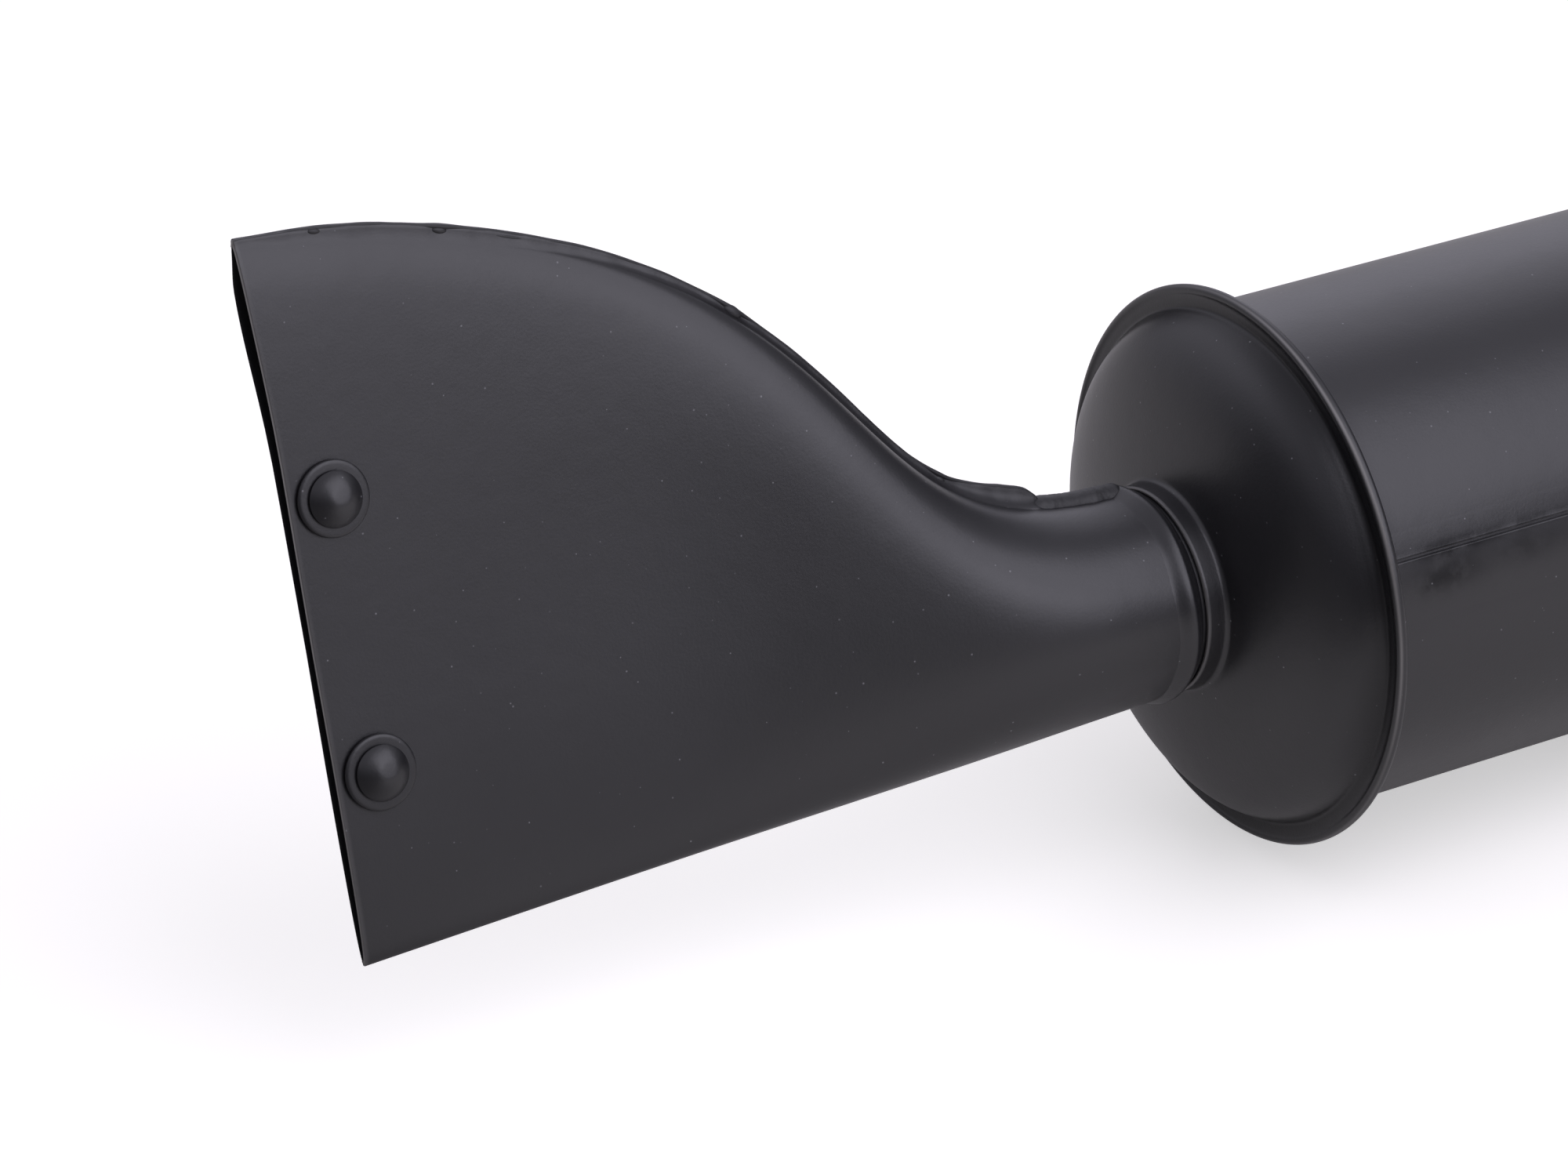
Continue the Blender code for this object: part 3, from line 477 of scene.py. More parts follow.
def bead_tree():
    """Weld bead along a path: a low half-round section that swells and ripples on its way."""
    tree = bpy.data.node_groups.get("weld_bead")
    if tree:
        return tree
    tree, given, out = new_tree("GeometryNodeTree", "weld_bead", [
        ("Geometry", "Geometry"), ("Section", "Object"), ("Side", "Vector"), ("Step", "Float"),
        ("Ripple", "Float"), ("Ripple Depth", "Float"), ("Swell", "Float"), ("Lumps", "Float"),
        ("Lump Size", "Float"), ("Seed", "Float"), ("Finish", "Material")], [("Geometry", "Geometry")])
    fine = add_node(tree, "GeometryNodeResampleCurve", {"Curve": given["Geometry"], "Length": given["Step"]},
                    mode="LENGTH")
    sided = add_node(tree, "GeometryNodeSetCurveNormal", {"Curve": fine.outputs[0], "Normal": given["Side"]},
                     mode="FREE")
    run = add_node(tree, "GeometryNodeSplineParameter").outputs["Length"]
    wave = calc(tree, "SINE", calc(tree, "MULTIPLY", calc(tree, "DIVIDE", run, given["Ripple"]), math.pi))
    ripple = calc(tree, "MULTIPLY", calc(tree, "ABSOLUTE", wave), given["Ripple Depth"])
    slow = add_node(tree, "ShaderNodeTexNoise", {
        "W": calc(tree, "ADD", calc(tree, "DIVIDE", run, given["Lump Size"]), given["Seed"]), "Scale": 0.35},
        noise_dimensions="1D").outputs[0]
    swell = calc(tree, "MULTIPLY", calc(tree, "SUBTRACT", slow, 0.5), given["Swell"])
    drawn = add_node(tree, "GeometryNodeInputRadius").outputs[0]
    size = calc(tree, "MULTIPLY", drawn, calc(tree, "ADD", calc(tree, "ADD", ripple, 1.0), swell))
    section = add_node(tree, "GeometryNodeObjectInfo", {"Object": given["Section"]}).outputs["Geometry"]
    tube = add_node(tree, "GeometryNodeCurveToMesh", {
        "Curve": sided.outputs[0], "Profile Curve": section, "Scale": size, "Fill Caps": True})
    place = add_node(tree, "GeometryNodeInputPosition").outputs[0]
    grain = add_node(tree, "ShaderNodeTexNoise", {
        "Vector": place, "W": given["Seed"], "Scale": calc(tree, "DIVIDE", 1.0, given["Lump Size"]),
        "Detail": 2.0}, noise_dimensions="4D").outputs[0]
    push = calc(tree, "MULTIPLY", calc(tree, "SUBTRACT", grain, 0.5), given["Lumps"])
    normal = add_node(tree, "GeometryNodeInputNormal").outputs[0]
    moved = add_node(tree, "ShaderNodeVectorMath", {0: normal, "Scale": push}, operation="SCALE").outputs[0]
    lumpy = add_node(tree, "GeometryNodeSetPosition", {"Geometry": tube.outputs[0], "Offset": moved})
    smooth = add_node(tree, "GeometryNodeSetShadeSmooth", {"Geometry": lumpy.outputs[0]})
    return finish_tree(tree, smooth, given, out)


def bead_section(width, height, sunk, washed):
    """A guide with a bead's section, x across it and y out of the metal: round, or washed out one way."""
    if washed:
        run = np.linspace(1, -1, 31)
        hump = np.cos(run * math.pi / 2)
        x = np.where(run > 0, 0.30 * run, 0.62 * run) * width
        crown = np.column_stack((x, height * np.where(run > 0, hump ** 1.1, hump ** 2.4)))
    else:
        crown = arc((0, 0), 1.0, 0, 180, 17) * (width / 2, height)
    outline = np.vstack((crown, [(-width / 3, -sunk), (width / 3, -sunk)]))
    curve = path_curve("bead_section", [(x, y, 0) for x, y in outline], cyclic=True)
    return linked("bead_section", curve)


def weld_bead(path, width, height, side, finish, sunk=0.0004, washed=False, **values):
    """The mesh of a weld bead along a path curve, even unless it is told to ripple or swell."""
    section = bead_section(width, height, sunk, washed)
    values = {"ripple": 0.003, "ripple_depth": 0.0, "swell": 0.0, **values}
    return closed(grown(path, bead_tree(), section=section, side=side, finish=finish, **values))


def set_tree():
    """One shape set on every point, its Z along the point's facing and turned about it at random."""
    tree = bpy.data.node_groups.get("set_on_points")
    if tree:
        return tree
    tree, given, out = new_tree("GeometryNodeTree", "set_on_points", [
        ("Geometry", "Geometry"), ("Shape", "Object"), ("Spin", "Float"), ("Seed", "Int"),
        ("Finish", "Material")], [("Geometry", "Geometry")])
    spin = add_node(tree, "FunctionNodeRandomValue", {3: given["Spin"], "Seed": given["Seed"]},
                    data_type="FLOAT").outputs[1]
    about = add_node(tree, "FunctionNodeAxisAngleToRotation", {"Axis": (0, 0, 1), "Angle": spin})
    both = add_node(tree, "FunctionNodeRotateRotation", {0: facing_turn(tree), 1: about.outputs[0]},
                    rotation_space="LOCAL")
    shape = add_node(tree, "GeometryNodeObjectInfo", {"Object": given["Shape"]}).outputs["Geometry"]
    points = add_node(tree, "GeometryNodeMeshToPoints", {"Mesh": given["Geometry"]})
    copies = add_node(tree, "GeometryNodeInstanceOnPoints", {
        "Points": points.outputs[0], "Instance": shape, "Rotation": both.outputs[0]})
    return finish_tree(tree, copies, given, out)


def set_out(name, shape, places, finish, spin=0.0, seed=0):
    """Copies of a mesh on (point, facing) places, as one mesh."""
    guide = linked(name + "_shape", shape)
    return grown(marks_mesh(name, places), set_tree(), shape=guide, spin=spin, seed=seed, finish=finish)


def pierced_tree():
    """A body with a round hole bored at every mark, and slots cut by another shape."""
    tree = bpy.data.node_groups.get("pierced")
    if tree:
        return tree
    tree, given, out = new_tree("GeometryNodeTree", "pierced", [
        ("Geometry", "Geometry"), ("Marks", "Object"), ("Slots", "Object"), ("Hole", "Float"),
        ("Depth", "Float"), ("Finish", "Material")], [("Geometry", "Geometry")])
    marks = add_node(tree, "GeometryNodeObjectInfo", {"Object": given["Marks"]}).outputs["Geometry"]
    points = add_node(tree, "GeometryNodeMeshToPoints", {"Mesh": marks})
    drill = add_node(tree, "GeometryNodeMeshCylinder", {
        "Vertices": 28, "Radius": given["Hole"], "Depth": given["Depth"]})
    drills = add_node(tree, "GeometryNodeInstanceOnPoints", {
        "Points": points.outputs[0], "Instance": drill.outputs[0], "Rotation": facing_turn(tree)})
    cutters = add_node(tree, "GeometryNodeRealizeInstances", {"Geometry": drills.outputs[0]})
    slots = add_node(tree, "GeometryNodeObjectInfo", {"Object": given["Slots"]}).outputs["Geometry"]
    cut = add_node(tree, "GeometryNodeMeshBoolean", {
        "Mesh 1": given["Geometry"], "Mesh 2": cutters.outputs[0]}, operation="DIFFERENCE", solver="EXACT")
    tree.links.new(slots, cut.inputs["Mesh 2"])
    bend = add_node(tree, "GeometryNodeInputMeshEdgeAngle").outputs["Unsigned Angle"]
    sharp = add_node(tree, "FunctionNodeCompare", {0: bend, 1: 0.5}, data_type="FLOAT",
                     operation="GREATER_THAN")
    smooth = add_node(tree, "GeometryNodeSetShadeSmooth", {"Geometry": cut.outputs[0], "Shade Smooth": True},
                      domain="FACE")
    edged = add_node(tree, "GeometryNodeSetShadeSmooth", {
        "Geometry": smooth.outputs[0], "Selection": sharp.outputs[0], "Shade Smooth": False}, domain="EDGE")
    return finish_tree(tree, edged, given, out)


def marks_mesh(name, places):
    """Points with the direction each faces."""
    mesh = bpy.data.meshes.new(name)
    mesh.from_pydata([tuple(point) for point, _ in places], [], [])
    facing = mesh.attributes.new("facing", "FLOAT_VECTOR", "POINT")
    for value, (_, direction) in zip(facing.data, places):
        value.vector = direction
    return mesh


def pierced(body, places, hole, depth, finish, slots=None):
    """A mesh with round holes at (point, facing) places, and slots cut out of it."""
    marks = linked(body.name + "_marks", marks_mesh(body.name + "_marks", places))
    cutter = linked(body.name + "_slots", slots or bpy.data.meshes.new("no_slots"))
    return grown(body, pierced_tree(), marks=marks, slots=cutter, hole=hole, depth=depth, finish=finish)


# Finishes


def dust_group():
    """Mask of a few tiny specks scattered over a surface."""
    tree = bpy.data.node_groups.get("dust_specks")
    if tree:
        return tree
    tree, given, out = new_tree("ShaderNodeTree", "dust_specks", [
        ("Place", "Vector"), ("Spacing", "Float"), ("Speck", "Float")], [("Mask", "Float")])
    cells = add_node(tree, "ShaderNodeTexVoronoi", {
        "Vector": given["Place"], "Scale": calc(tree, "DIVIDE", 1.0, given["Spacing"])})
    pick = add_node(tree, "ShaderNodeSeparateColor", {0: cells.outputs["Color"]}).outputs[0]
    size = calc(tree, "MULTIPLY", calc(tree, "DIVIDE", given["Speck"], given["Spacing"]), pick)
    near = calc(tree, "SUBTRACT", 1.0, calc(tree, "DIVIDE", cells.outputs["Distance"], size))
    tree.links.new(calc(tree, "MINIMUM", calc(tree, "MAXIMUM", near, 0.0), 1.0), out["Mask"])
    return tree


def grain_group():
    """Soft patches and a fine grain, as two values from 0 to 1 and a height."""
    tree = bpy.data.node_groups.get("surface_grain")
    if tree:
        return tree
    tree, given, out = new_tree("ShaderNodeTree", "surface_grain", [
        ("Place", "Vector"), ("Patch Size", "Float"), ("Grain Size", "Float")],
        [("Patches", "Float"), ("Grain", "Float"), ("Height", "Float")])

    def noise(size, detail):
        return add_node(tree, "ShaderNodeTexNoise", {
            "Vector": given["Place"], "Scale": calc(tree, "DIVIDE", 1.0, size), "Detail": detail}).outputs[0]

    patches = noise(given["Patch Size"], 3.0)
    grain = noise(given["Grain Size"], 2.0)
    waves = noise(calc(tree, "MULTIPLY", given["Grain Size"], 9.0), 1.0)
    tree.links.new(patches, out["Patches"])
    tree.links.new(grain, out["Grain"])
    tree.links.new(calc(tree, "ADD", grain, calc(tree, "MULTIPLY", waves, 2.0)), out["Height"])
    return tree


def painted_shade_and_patch_group():
    """Mask of darkened paint: painted shade, evenly by a mesh's grime attribute, and dark patches in blotches
    by its smudge attribute.
    """
    tree = bpy.data.node_groups.get("smudges")
    if tree:
        return tree
    tree, given, out = new_tree("ShaderNodeTree", "smudges", [("Place", "Vector")], [("Mask", "Float")])
    blotch = add_node(tree, "ShaderNodeTexNoise", {"Vector": given["Place"], "Scale": 260.0, "Detail": 3.0})
    edge = add_node(tree, "ShaderNodeMapRange", {0: blotch.outputs[0], 1: 0.34, 2: 0.56, 3: 0.15, 4: 1.0})
    smudge = add_node(tree, "ShaderNodeAttribute", attribute_name="smudge").outputs["Fac"]
    grime = add_node(tree, "ShaderNodeAttribute", attribute_name="grime").outputs["Fac"]
    tree.links.new(calc(tree, "MAXIMUM", calc(tree, "MULTIPLY", edge.outputs[0], smudge), grime), out["Mask"])
    return tree


def use_group(tree, group, **values):
    """A group placed in a material, with its inputs linked or set."""
    inputs = {key.replace("_", " ").title(): value for key, value in values.items()}
    return add_node(tree, "ShaderNodeGroup", inputs, node_tree=group).outputs


def blend_colour(tree, factor, first, second):
    """Output of a colour mix."""
    return add_node(tree, "ShaderNodeMix", {0: factor, 6: first, 7: second}, data_type="RGBA").outputs[2]


def spread(tree, value, low, high):
    """A 0 to 1 value carried to another range."""
    return add_node(tree, "ShaderNodeMapRange", {0: value, 3: low, 4: high}).outputs[0]


def tone(rgb, factor):
    """A colour made lighter or darker."""
    return (*[min(channel * factor, 1.0) for channel in rgb], 1.0)


def new_material(name):
    """An empty material with its Principled shader and its object coordinates."""
    material = bpy.data.materials.new(name)
    material.use_nodes = True
    tree = material.node_tree
    place = tree.nodes.new("ShaderNodeTexCoord").outputs["Object"]
    return material, tree, tree.nodes["Principled BSDF"], place


def add_relief(tree, shader, height, strength):
    """Fine relief on a material's surface."""
    bump = add_node(tree, "ShaderNodeBump", {"Height": height, "Strength": strength, "Distance": 0.0002})
    tree.links.new(bump.outputs[0], shader.inputs["Normal"])


def paint_finish(name="satin_black_paint", patch=0.035, mottle=0.10, rough=(0.28, 0.37), relief=0.10):
    """Satin black paint: slight patches, a fine orange peel, a few specks of dust, painted shade and dark
    patches that darken it, and bare steel at worn edges and painted highlights.
    """
    material = bpy.data.materials.get(name)
    if material:
        return material
    look = settings().finish
    material, tree, shader, place = new_material(name)
    grain = use_group(tree, grain_group(), place=place, patch_size=patch, grain_size=0.0006)
    dust = use_group(tree, dust_group(), place=place, spacing=0.0028, speck=0.00028)["Mask"]
    smudge = use_group(tree, painted_shade_and_patch_group(), place=place)["Mask"]
    plain = blend_colour(tree, grain["Patches"], tone(look.paint, 1 - mottle), tone(look.paint, 1 + mottle))
    # Paint darkened by painted shade and dark patches: its shade, gloss and loss of roughness
    shade, shine, smoothing = 0.5, 0.45, 0.08
    dull = blend_colour(tree, smudge, plain, tone(look.paint, shade))
    # Bare steel at worn edges and at painted highlights, which stand in for bright lines of light
    rubbed_and_highlight = add_node(tree, "ShaderNodeAttribute", attribute_name="wear").outputs["Fac"]
    uneven = spread(tree, grain["Patches"], 0.5, 1.3)
    wear = calc(tree, "MULTIPLY", calc(tree, "MULTIPLY", rubbed_and_highlight, look.edge_wear), uneven)
    bare = blend_colour(tree, wear, dull, tone(look.steel, 1.0))
    tree.links.new(wear, shader.inputs["Metallic"])
    tree.links.new(blend_colour(tree, dust, bare, tone(look.dust, 1.0)), shader.inputs["Base Color"])
    gloss = spread(tree, smudge, look.paint_gloss, shine * look.paint_gloss)
    tree.links.new(gloss, shader.inputs["Specular IOR Level"])
    satin = calc(tree, "ADD", spread(tree, grain["Patches"], *rough),
                 calc(tree, "MULTIPLY", grain["Grain"], 0.05))
    smoother = calc(tree, "MULTIPLY", smudge, smoothing)
    tree.links.new(calc(tree, "SUBTRACT", satin, smoother), shader.inputs["Roughness"])
    add_relief(tree, shader, grain["Height"], relief)
    return material


def weld_finish():
    """The same paint over rougher weld metal."""
    return paint_finish("satin_black_weld", patch=0.004, mottle=0.30, rough=(0.42, 0.60), relief=0.25)


def metal_finish(name, rgb, rough, streak):
    """Bare or plated metal: long faint streaks, patches and a fine grain."""
    material = bpy.data.materials.get(name)
    if material:
        return material
    material, tree, shader, place = new_material(name)
    shader.inputs["Metallic"].default_value = 1.0
    drawn = add_node(tree, "ShaderNodeMapping", {"Vector": place, "Scale": (1.0 / streak, 1.0, 1.0)})
    grain = use_group(tree, grain_group(), place=drawn.outputs[0], patch_size=0.006, grain_size=0.0005)
    plain = blend_colour(tree, grain["Patches"], tone(rgb, 0.72), tone(rgb, 1.15))
    tree.links.new(plain, shader.inputs["Base Color"])
    tree.links.new(spread(tree, grain["Patches"], *rough), shader.inputs["Roughness"])
    add_relief(tree, shader, grain["Height"], 0.12)
    return material


def steel_finish():
    """Dull bare steel."""
    return metal_finish("bare_sheet_steel", settings().finish.steel, (0.38, 0.58), 6.0)


def zinc_finish():
    """Zinc plate."""
    return metal_finish("zinc_plate", settings().finish.zinc, (0.28, 0.46), 1.5)


# Fishtail, in the tail's own frame: x from the rear rim, z up the tail, y across it

# Half the thickness of the solids' rim
RIM_HALF = 0.0018
REAR_RIM = REAR_CAP_HIGH.x - RIM_HALF
FRONT_RIM = FRONT_CAP_LOW.x + RIM_HALF
TAIL_START = REAR_RIM - TAIL_HIGH.x
TAIL_END = REAR_RIM - TAIL_LOW.x


def tail_place():
    """Matrix from the tail's frame to the part's."""
    turn = Matrix.Rotation(settings().tail.roll, 4, "X")
    return Matrix.Translation((REAR_RIM, 0, AXIS_HEIGHT)) @ turn


def tail_across():
    """Direction across the tail, in the part's frame."""
    return tail_place().to_3x3() @ Vector((0, 1, 0))


def tail_top(distance):
    """Height of the sheet's top line at distances behind the rear rim, an S-shaped Bezier."""
    size = settings().tail
    start = TAIL_START + size.line_start
    run = TAIL_END - start
    t = np.linspace(0, 1, 801)
    shares = ((1 - t) ** 3, 3 * (1 - t) ** 2 * t, 3 * (1 - t) * t * t, t ** 3)
    along = (0, size.pipe_pull * run, run - size.mouth_pull * run, run)
    heights = (size.pipe_radius, size.pipe_radius, size.mouth_top - size.mouth_drop, size.mouth_top)
    x = sum(s * a for s, a in zip(shares, along))
    z = sum(s * h for s, h in zip(shares, heights))
    return np.interp(np.asarray(distance) - start, x, z)


def tail_bottom(distance):
    """Height of the straight bottom fold at distances behind the rear rim."""
    size = settings().tail
    part = (distance - TAIL_START) / (TAIL_END - TAIL_START)
    return -size.pipe_radius - (size.mouth_bottom - size.pipe_radius) * part


def tail_flatness(distance):
    """How far the section has gone from round, 0, to the flat mouth, 1."""
    size = settings().tail
    start = TAIL_START + size.round_length
    part = np.clip((distance - start) / (TAIL_END - size.mouth_land - start), 0, 1)
    return ease(1 - (1 - part) ** size.flattening)


def top_slope(distance):
    """Slope of the top line at distances behind the rear rim."""
    step = 0.0005
    return (tail_top(distance + step) - tail_top(distance - step)) / (2 * step)


def wander(distance, size, seed):
    """A smooth irregular wave between -1 and 1 along the tail."""
    phase = np.asarray(distance) / size * 2 * math.pi
    first = np.sin(phase + 1.7 * seed) + 0.6 * np.sin(1.73 * phase + 2.9 * seed)
    return (first + 0.4 * np.sin(3.11 * phase + 0.7 * seed)) / 2


# Height of the turned-up edges square to the top line, at distances behind the rear rim
EDGE_PLACES = (0.046, 0.050, 0.054, 0.060, 0.066, 0.074, 0.084, 0.094,
               0.105, 0.128, 0.155, 0.180, 0.194, 0.204, 0.210)
EDGE_HEIGHTS = (0.0036, 0.0040, 0.0039, 0.0032, 0.0025, 0.0021, 0.0022, 0.0020,
                0.0017, 0.0018, 0.0020, 0.0022, 0.0017, 0.0010, 0.0005)
# Fillet at the foot of those edges
FOOT_PLACES = (0.100, 0.135, 0.150, 0.185, 0.195, 0.205)
FOOT_FILLETS = (0.0022, 0.0014, 0.0004, 0.0004, 0.0008, 0.0014)
# Length over which the edges run out towards the neck
EDGE_RUN_OUT = 0.0042


def seam_rise(distance):
    """Height of the turned-up edges above the sheet's top line, measured straight up the tail."""
    size = settings().seam
    height = size.height * np.interp(distance, EDGE_PLACES, EDGE_HEIGHTS)
    height = height * (1 + 0.04 * wander(distance, 0.027, 1))
    neck = np.sqrt(1 - (1 - np.clip((distance - size.end) / EDGE_RUN_OUT, 0, 1)) ** 2)
    return height * neck * np.sqrt(1 + top_slope(distance) ** 2)


# Points of one half of the sheet's line: over the turned-up edge, and from there down to the fold
RIB_POINTS, BODY_POINTS = 14, 52


def mouth_spring(up, top, far):
    """How far a wall of the mouth springs out, as a share of its distance from the middle, up the tail."""
    belly = 0.12 * bell(up, 0.036, 0.018)
    open_top = bell(up, 0.104, 0.022) * ease((top - up) / 0.010)
    return (0.85 if far else 0.10) * open_top - belly


def tail_half(distance, ribbed, far):
    """One half of the sheet's line at a station, as (across, up) points from its top to the fold."""
    size, seam = settings().tail, settings().seam
    flat = float(tail_flatness(distance))
    top, bottom = float(tail_top(distance)), float(tail_bottom(distance))
    middle, half_height = (top + bottom) / 2, (top - bottom) / 2
    half_width = size.pipe_radius + (size.mouth_half - size.pipe_radius) * flat
    power = 2 + (size.squareness - 2) * flat
    spring = flat ** 4
    fillet = seam.fillet * float(np.interp(distance, FOOT_PLACES, FOOT_FILLETS)) / FOOT_FILLETS[0]
    foot = seam.half + min(fillet, 0.2 * (half_width - seam.half))

    def height_at(across):
        return middle + half_height * (1 - (across / half_width) ** power) ** (1 / power)

    first = math.acos((foot / half_width) ** (power / 2))
    turn = (1 - np.cos(np.pi * np.linspace(0, 1, BODY_POINTS))) / 2
    bend = first - (first + math.pi / 2) * turn
    across = half_width * np.clip(np.cos(bend), 0, 1) ** (2 / power)
    up = middle + half_height * np.sign(np.sin(bend)) * np.abs(np.sin(bend)) ** (2 / power)
    across[-1] = 0.0
    across = across * (1 + spring * mouth_spring(up, top, far))
    body = np.column_stack((across, up))
    plain = foot * np.linspace(0, 1, RIB_POINTS, endpoint=False)
    cover = np.column_stack((plain, height_at(plain)))
    if ribbed:
        # The turned-up edge: a slightly dipped crest, a rounded corner and a flank that runs into the sheet
        edge, dip, full_rise = 0.0004, 0.0001, 0.0006
        rise = float(seam_rise(distance))
        half = seam.half * (1 + 0.08 * float(wander(distance, 0.013, 3)))
        crest = top + rise
        low = float(height_at(foot))
        start = np.array((half, crest - edge))
        handle = np.array((half, min(low + 0.35 * (crest - edge - low), low + 0.0012)))
        rib = [(0.0, crest - dip), (0.45 * half, crest - dip), (half - edge, crest)]
        rib += list(arc((half - edge, crest - edge), edge, 60, 0, 3))
        steps = np.linspace(0, 1, RIB_POINTS - len(rib) + 1)[:-1]
        rib += [bent(start, handle, body[0], t) for t in steps]
        cover = cover + (np.array(rib) - cover) * ease(rise / full_rise)
    return np.vstack((cover, body))


def tail_loop(distance, ribbed):
    """The whole closed line at a station, in the tail's frame."""
    sides = []
    for far, side in ((False, -1), (True, 1)):
        half = tail_half(distance, ribbed, far)
        sides.append(np.column_stack((np.full(len(half), -distance), side * half[:, 0], half[:, 1])))
    return np.vstack((sides[0], sides[1][-2:0:-1]))


def outward(rows):
    """Unit normals of a grid that is closed along its columns, pointing away from its middle."""
    along = np.gradient(rows, axis=0)
    round_ = np.roll(rows, -1, axis=1) - np.roll(rows, 1, axis=1)
    normal = np.cross(along, round_)
    normal /= np.maximum(np.linalg.norm(normal, axis=2), 1e-12)[..., None]
    away = rows - rows.mean(axis=1)[:, None]
    facing = np.sign((normal * away).sum(axis=2).mean())
    return normal * facing


def corner_reach(up):
    """How far the mouth's top corner reaches out, at heights up the tail."""
    return 0.0013 * ease((up - 0.070) / 0.045)


def make_tail_sheet():
    """Outer and inner faces of the folded sheet, joined by its cut edge at the mouth."""
    sheet = settings().can.sheet
    corner = 0.00018
    stations = np.linspace(TAIL_START, TAIL_END - corner, 230)
    outer = np.array([tail_loop(d, True) for d in stations])
    plain = np.array([tail_loop(d, False) for d in stations])
    inner = plain - outward(plain) * sheet
    crossed = inner[..., 1] * plain[..., 1] < 0
    inner[..., 1] = np.where(crossed, 0.00005 * np.sign(plain[..., 1]), inner[..., 1])
    # The mouth's top corner reaches out a little, and the far wall's cut slopes back
    for rows, slope in ((outer, 0.0012), (inner, 0.0)):
        near_end = TAIL_END + rows[..., 0]
        rows[..., 0] -= corner_reach(rows[..., 2]) * ease(1 - near_end / 0.03)
        rows[..., 0] += slope * np.clip(rows[..., 1] / 0.002, 0, 1) * ease(1 - near_end / 0.012)
    outer_lip, inner_lip = [], []
    for turn, deeper in ((30, 0.0), (60, 0.0), (90, 0.0), (90, 0.0002)):
        turn = math.radians(turn)
        part = (corner * (1 - math.cos(turn)) + deeper) / sheet
        reach = np.array((corner * math.sin(turn), 0, 0))
        outer_lip.append(outer[-1] + (inner[-1] - outer[-1]) * part - reach)
        inner_lip.append(inner[-1] + (outer[-1] - inner[-1]) * part - reach)
    rows = np.array(list(outer) + outer_lip + inner_lip[::-1] + list(inner[::-1]))
    mesh = grid_mesh("tail_sheet", rows, True, True)
    points = points_of(mesh)
    from_end = points[:, 0] + TAIL_END + corner_reach(points[:, 2])
    # Painted highlight, drawn as worn bare steel along the near wall's cut edge at the mouth
    mark(mesh, "wear", np.where(points[:, 1] < 0, 0.45 * np.clip(1 - from_end / 0.0003, 0, 1), 0))
    mesh.transform(tail_place())
    return mesh


class SILENCER_OT_tail(bpy.types.Operator):
    """Fishtail folded from one sheet, with the standing seam on its top"""
    bl_idname = "silencer.tail"
    bl_label = "Fishtail"

    def execute(self, context):
        add_piece("tail_sheet", make_tail_sheet(), paint_finish(), nodes=["tail_shell"])
        return {"FINISHED"}


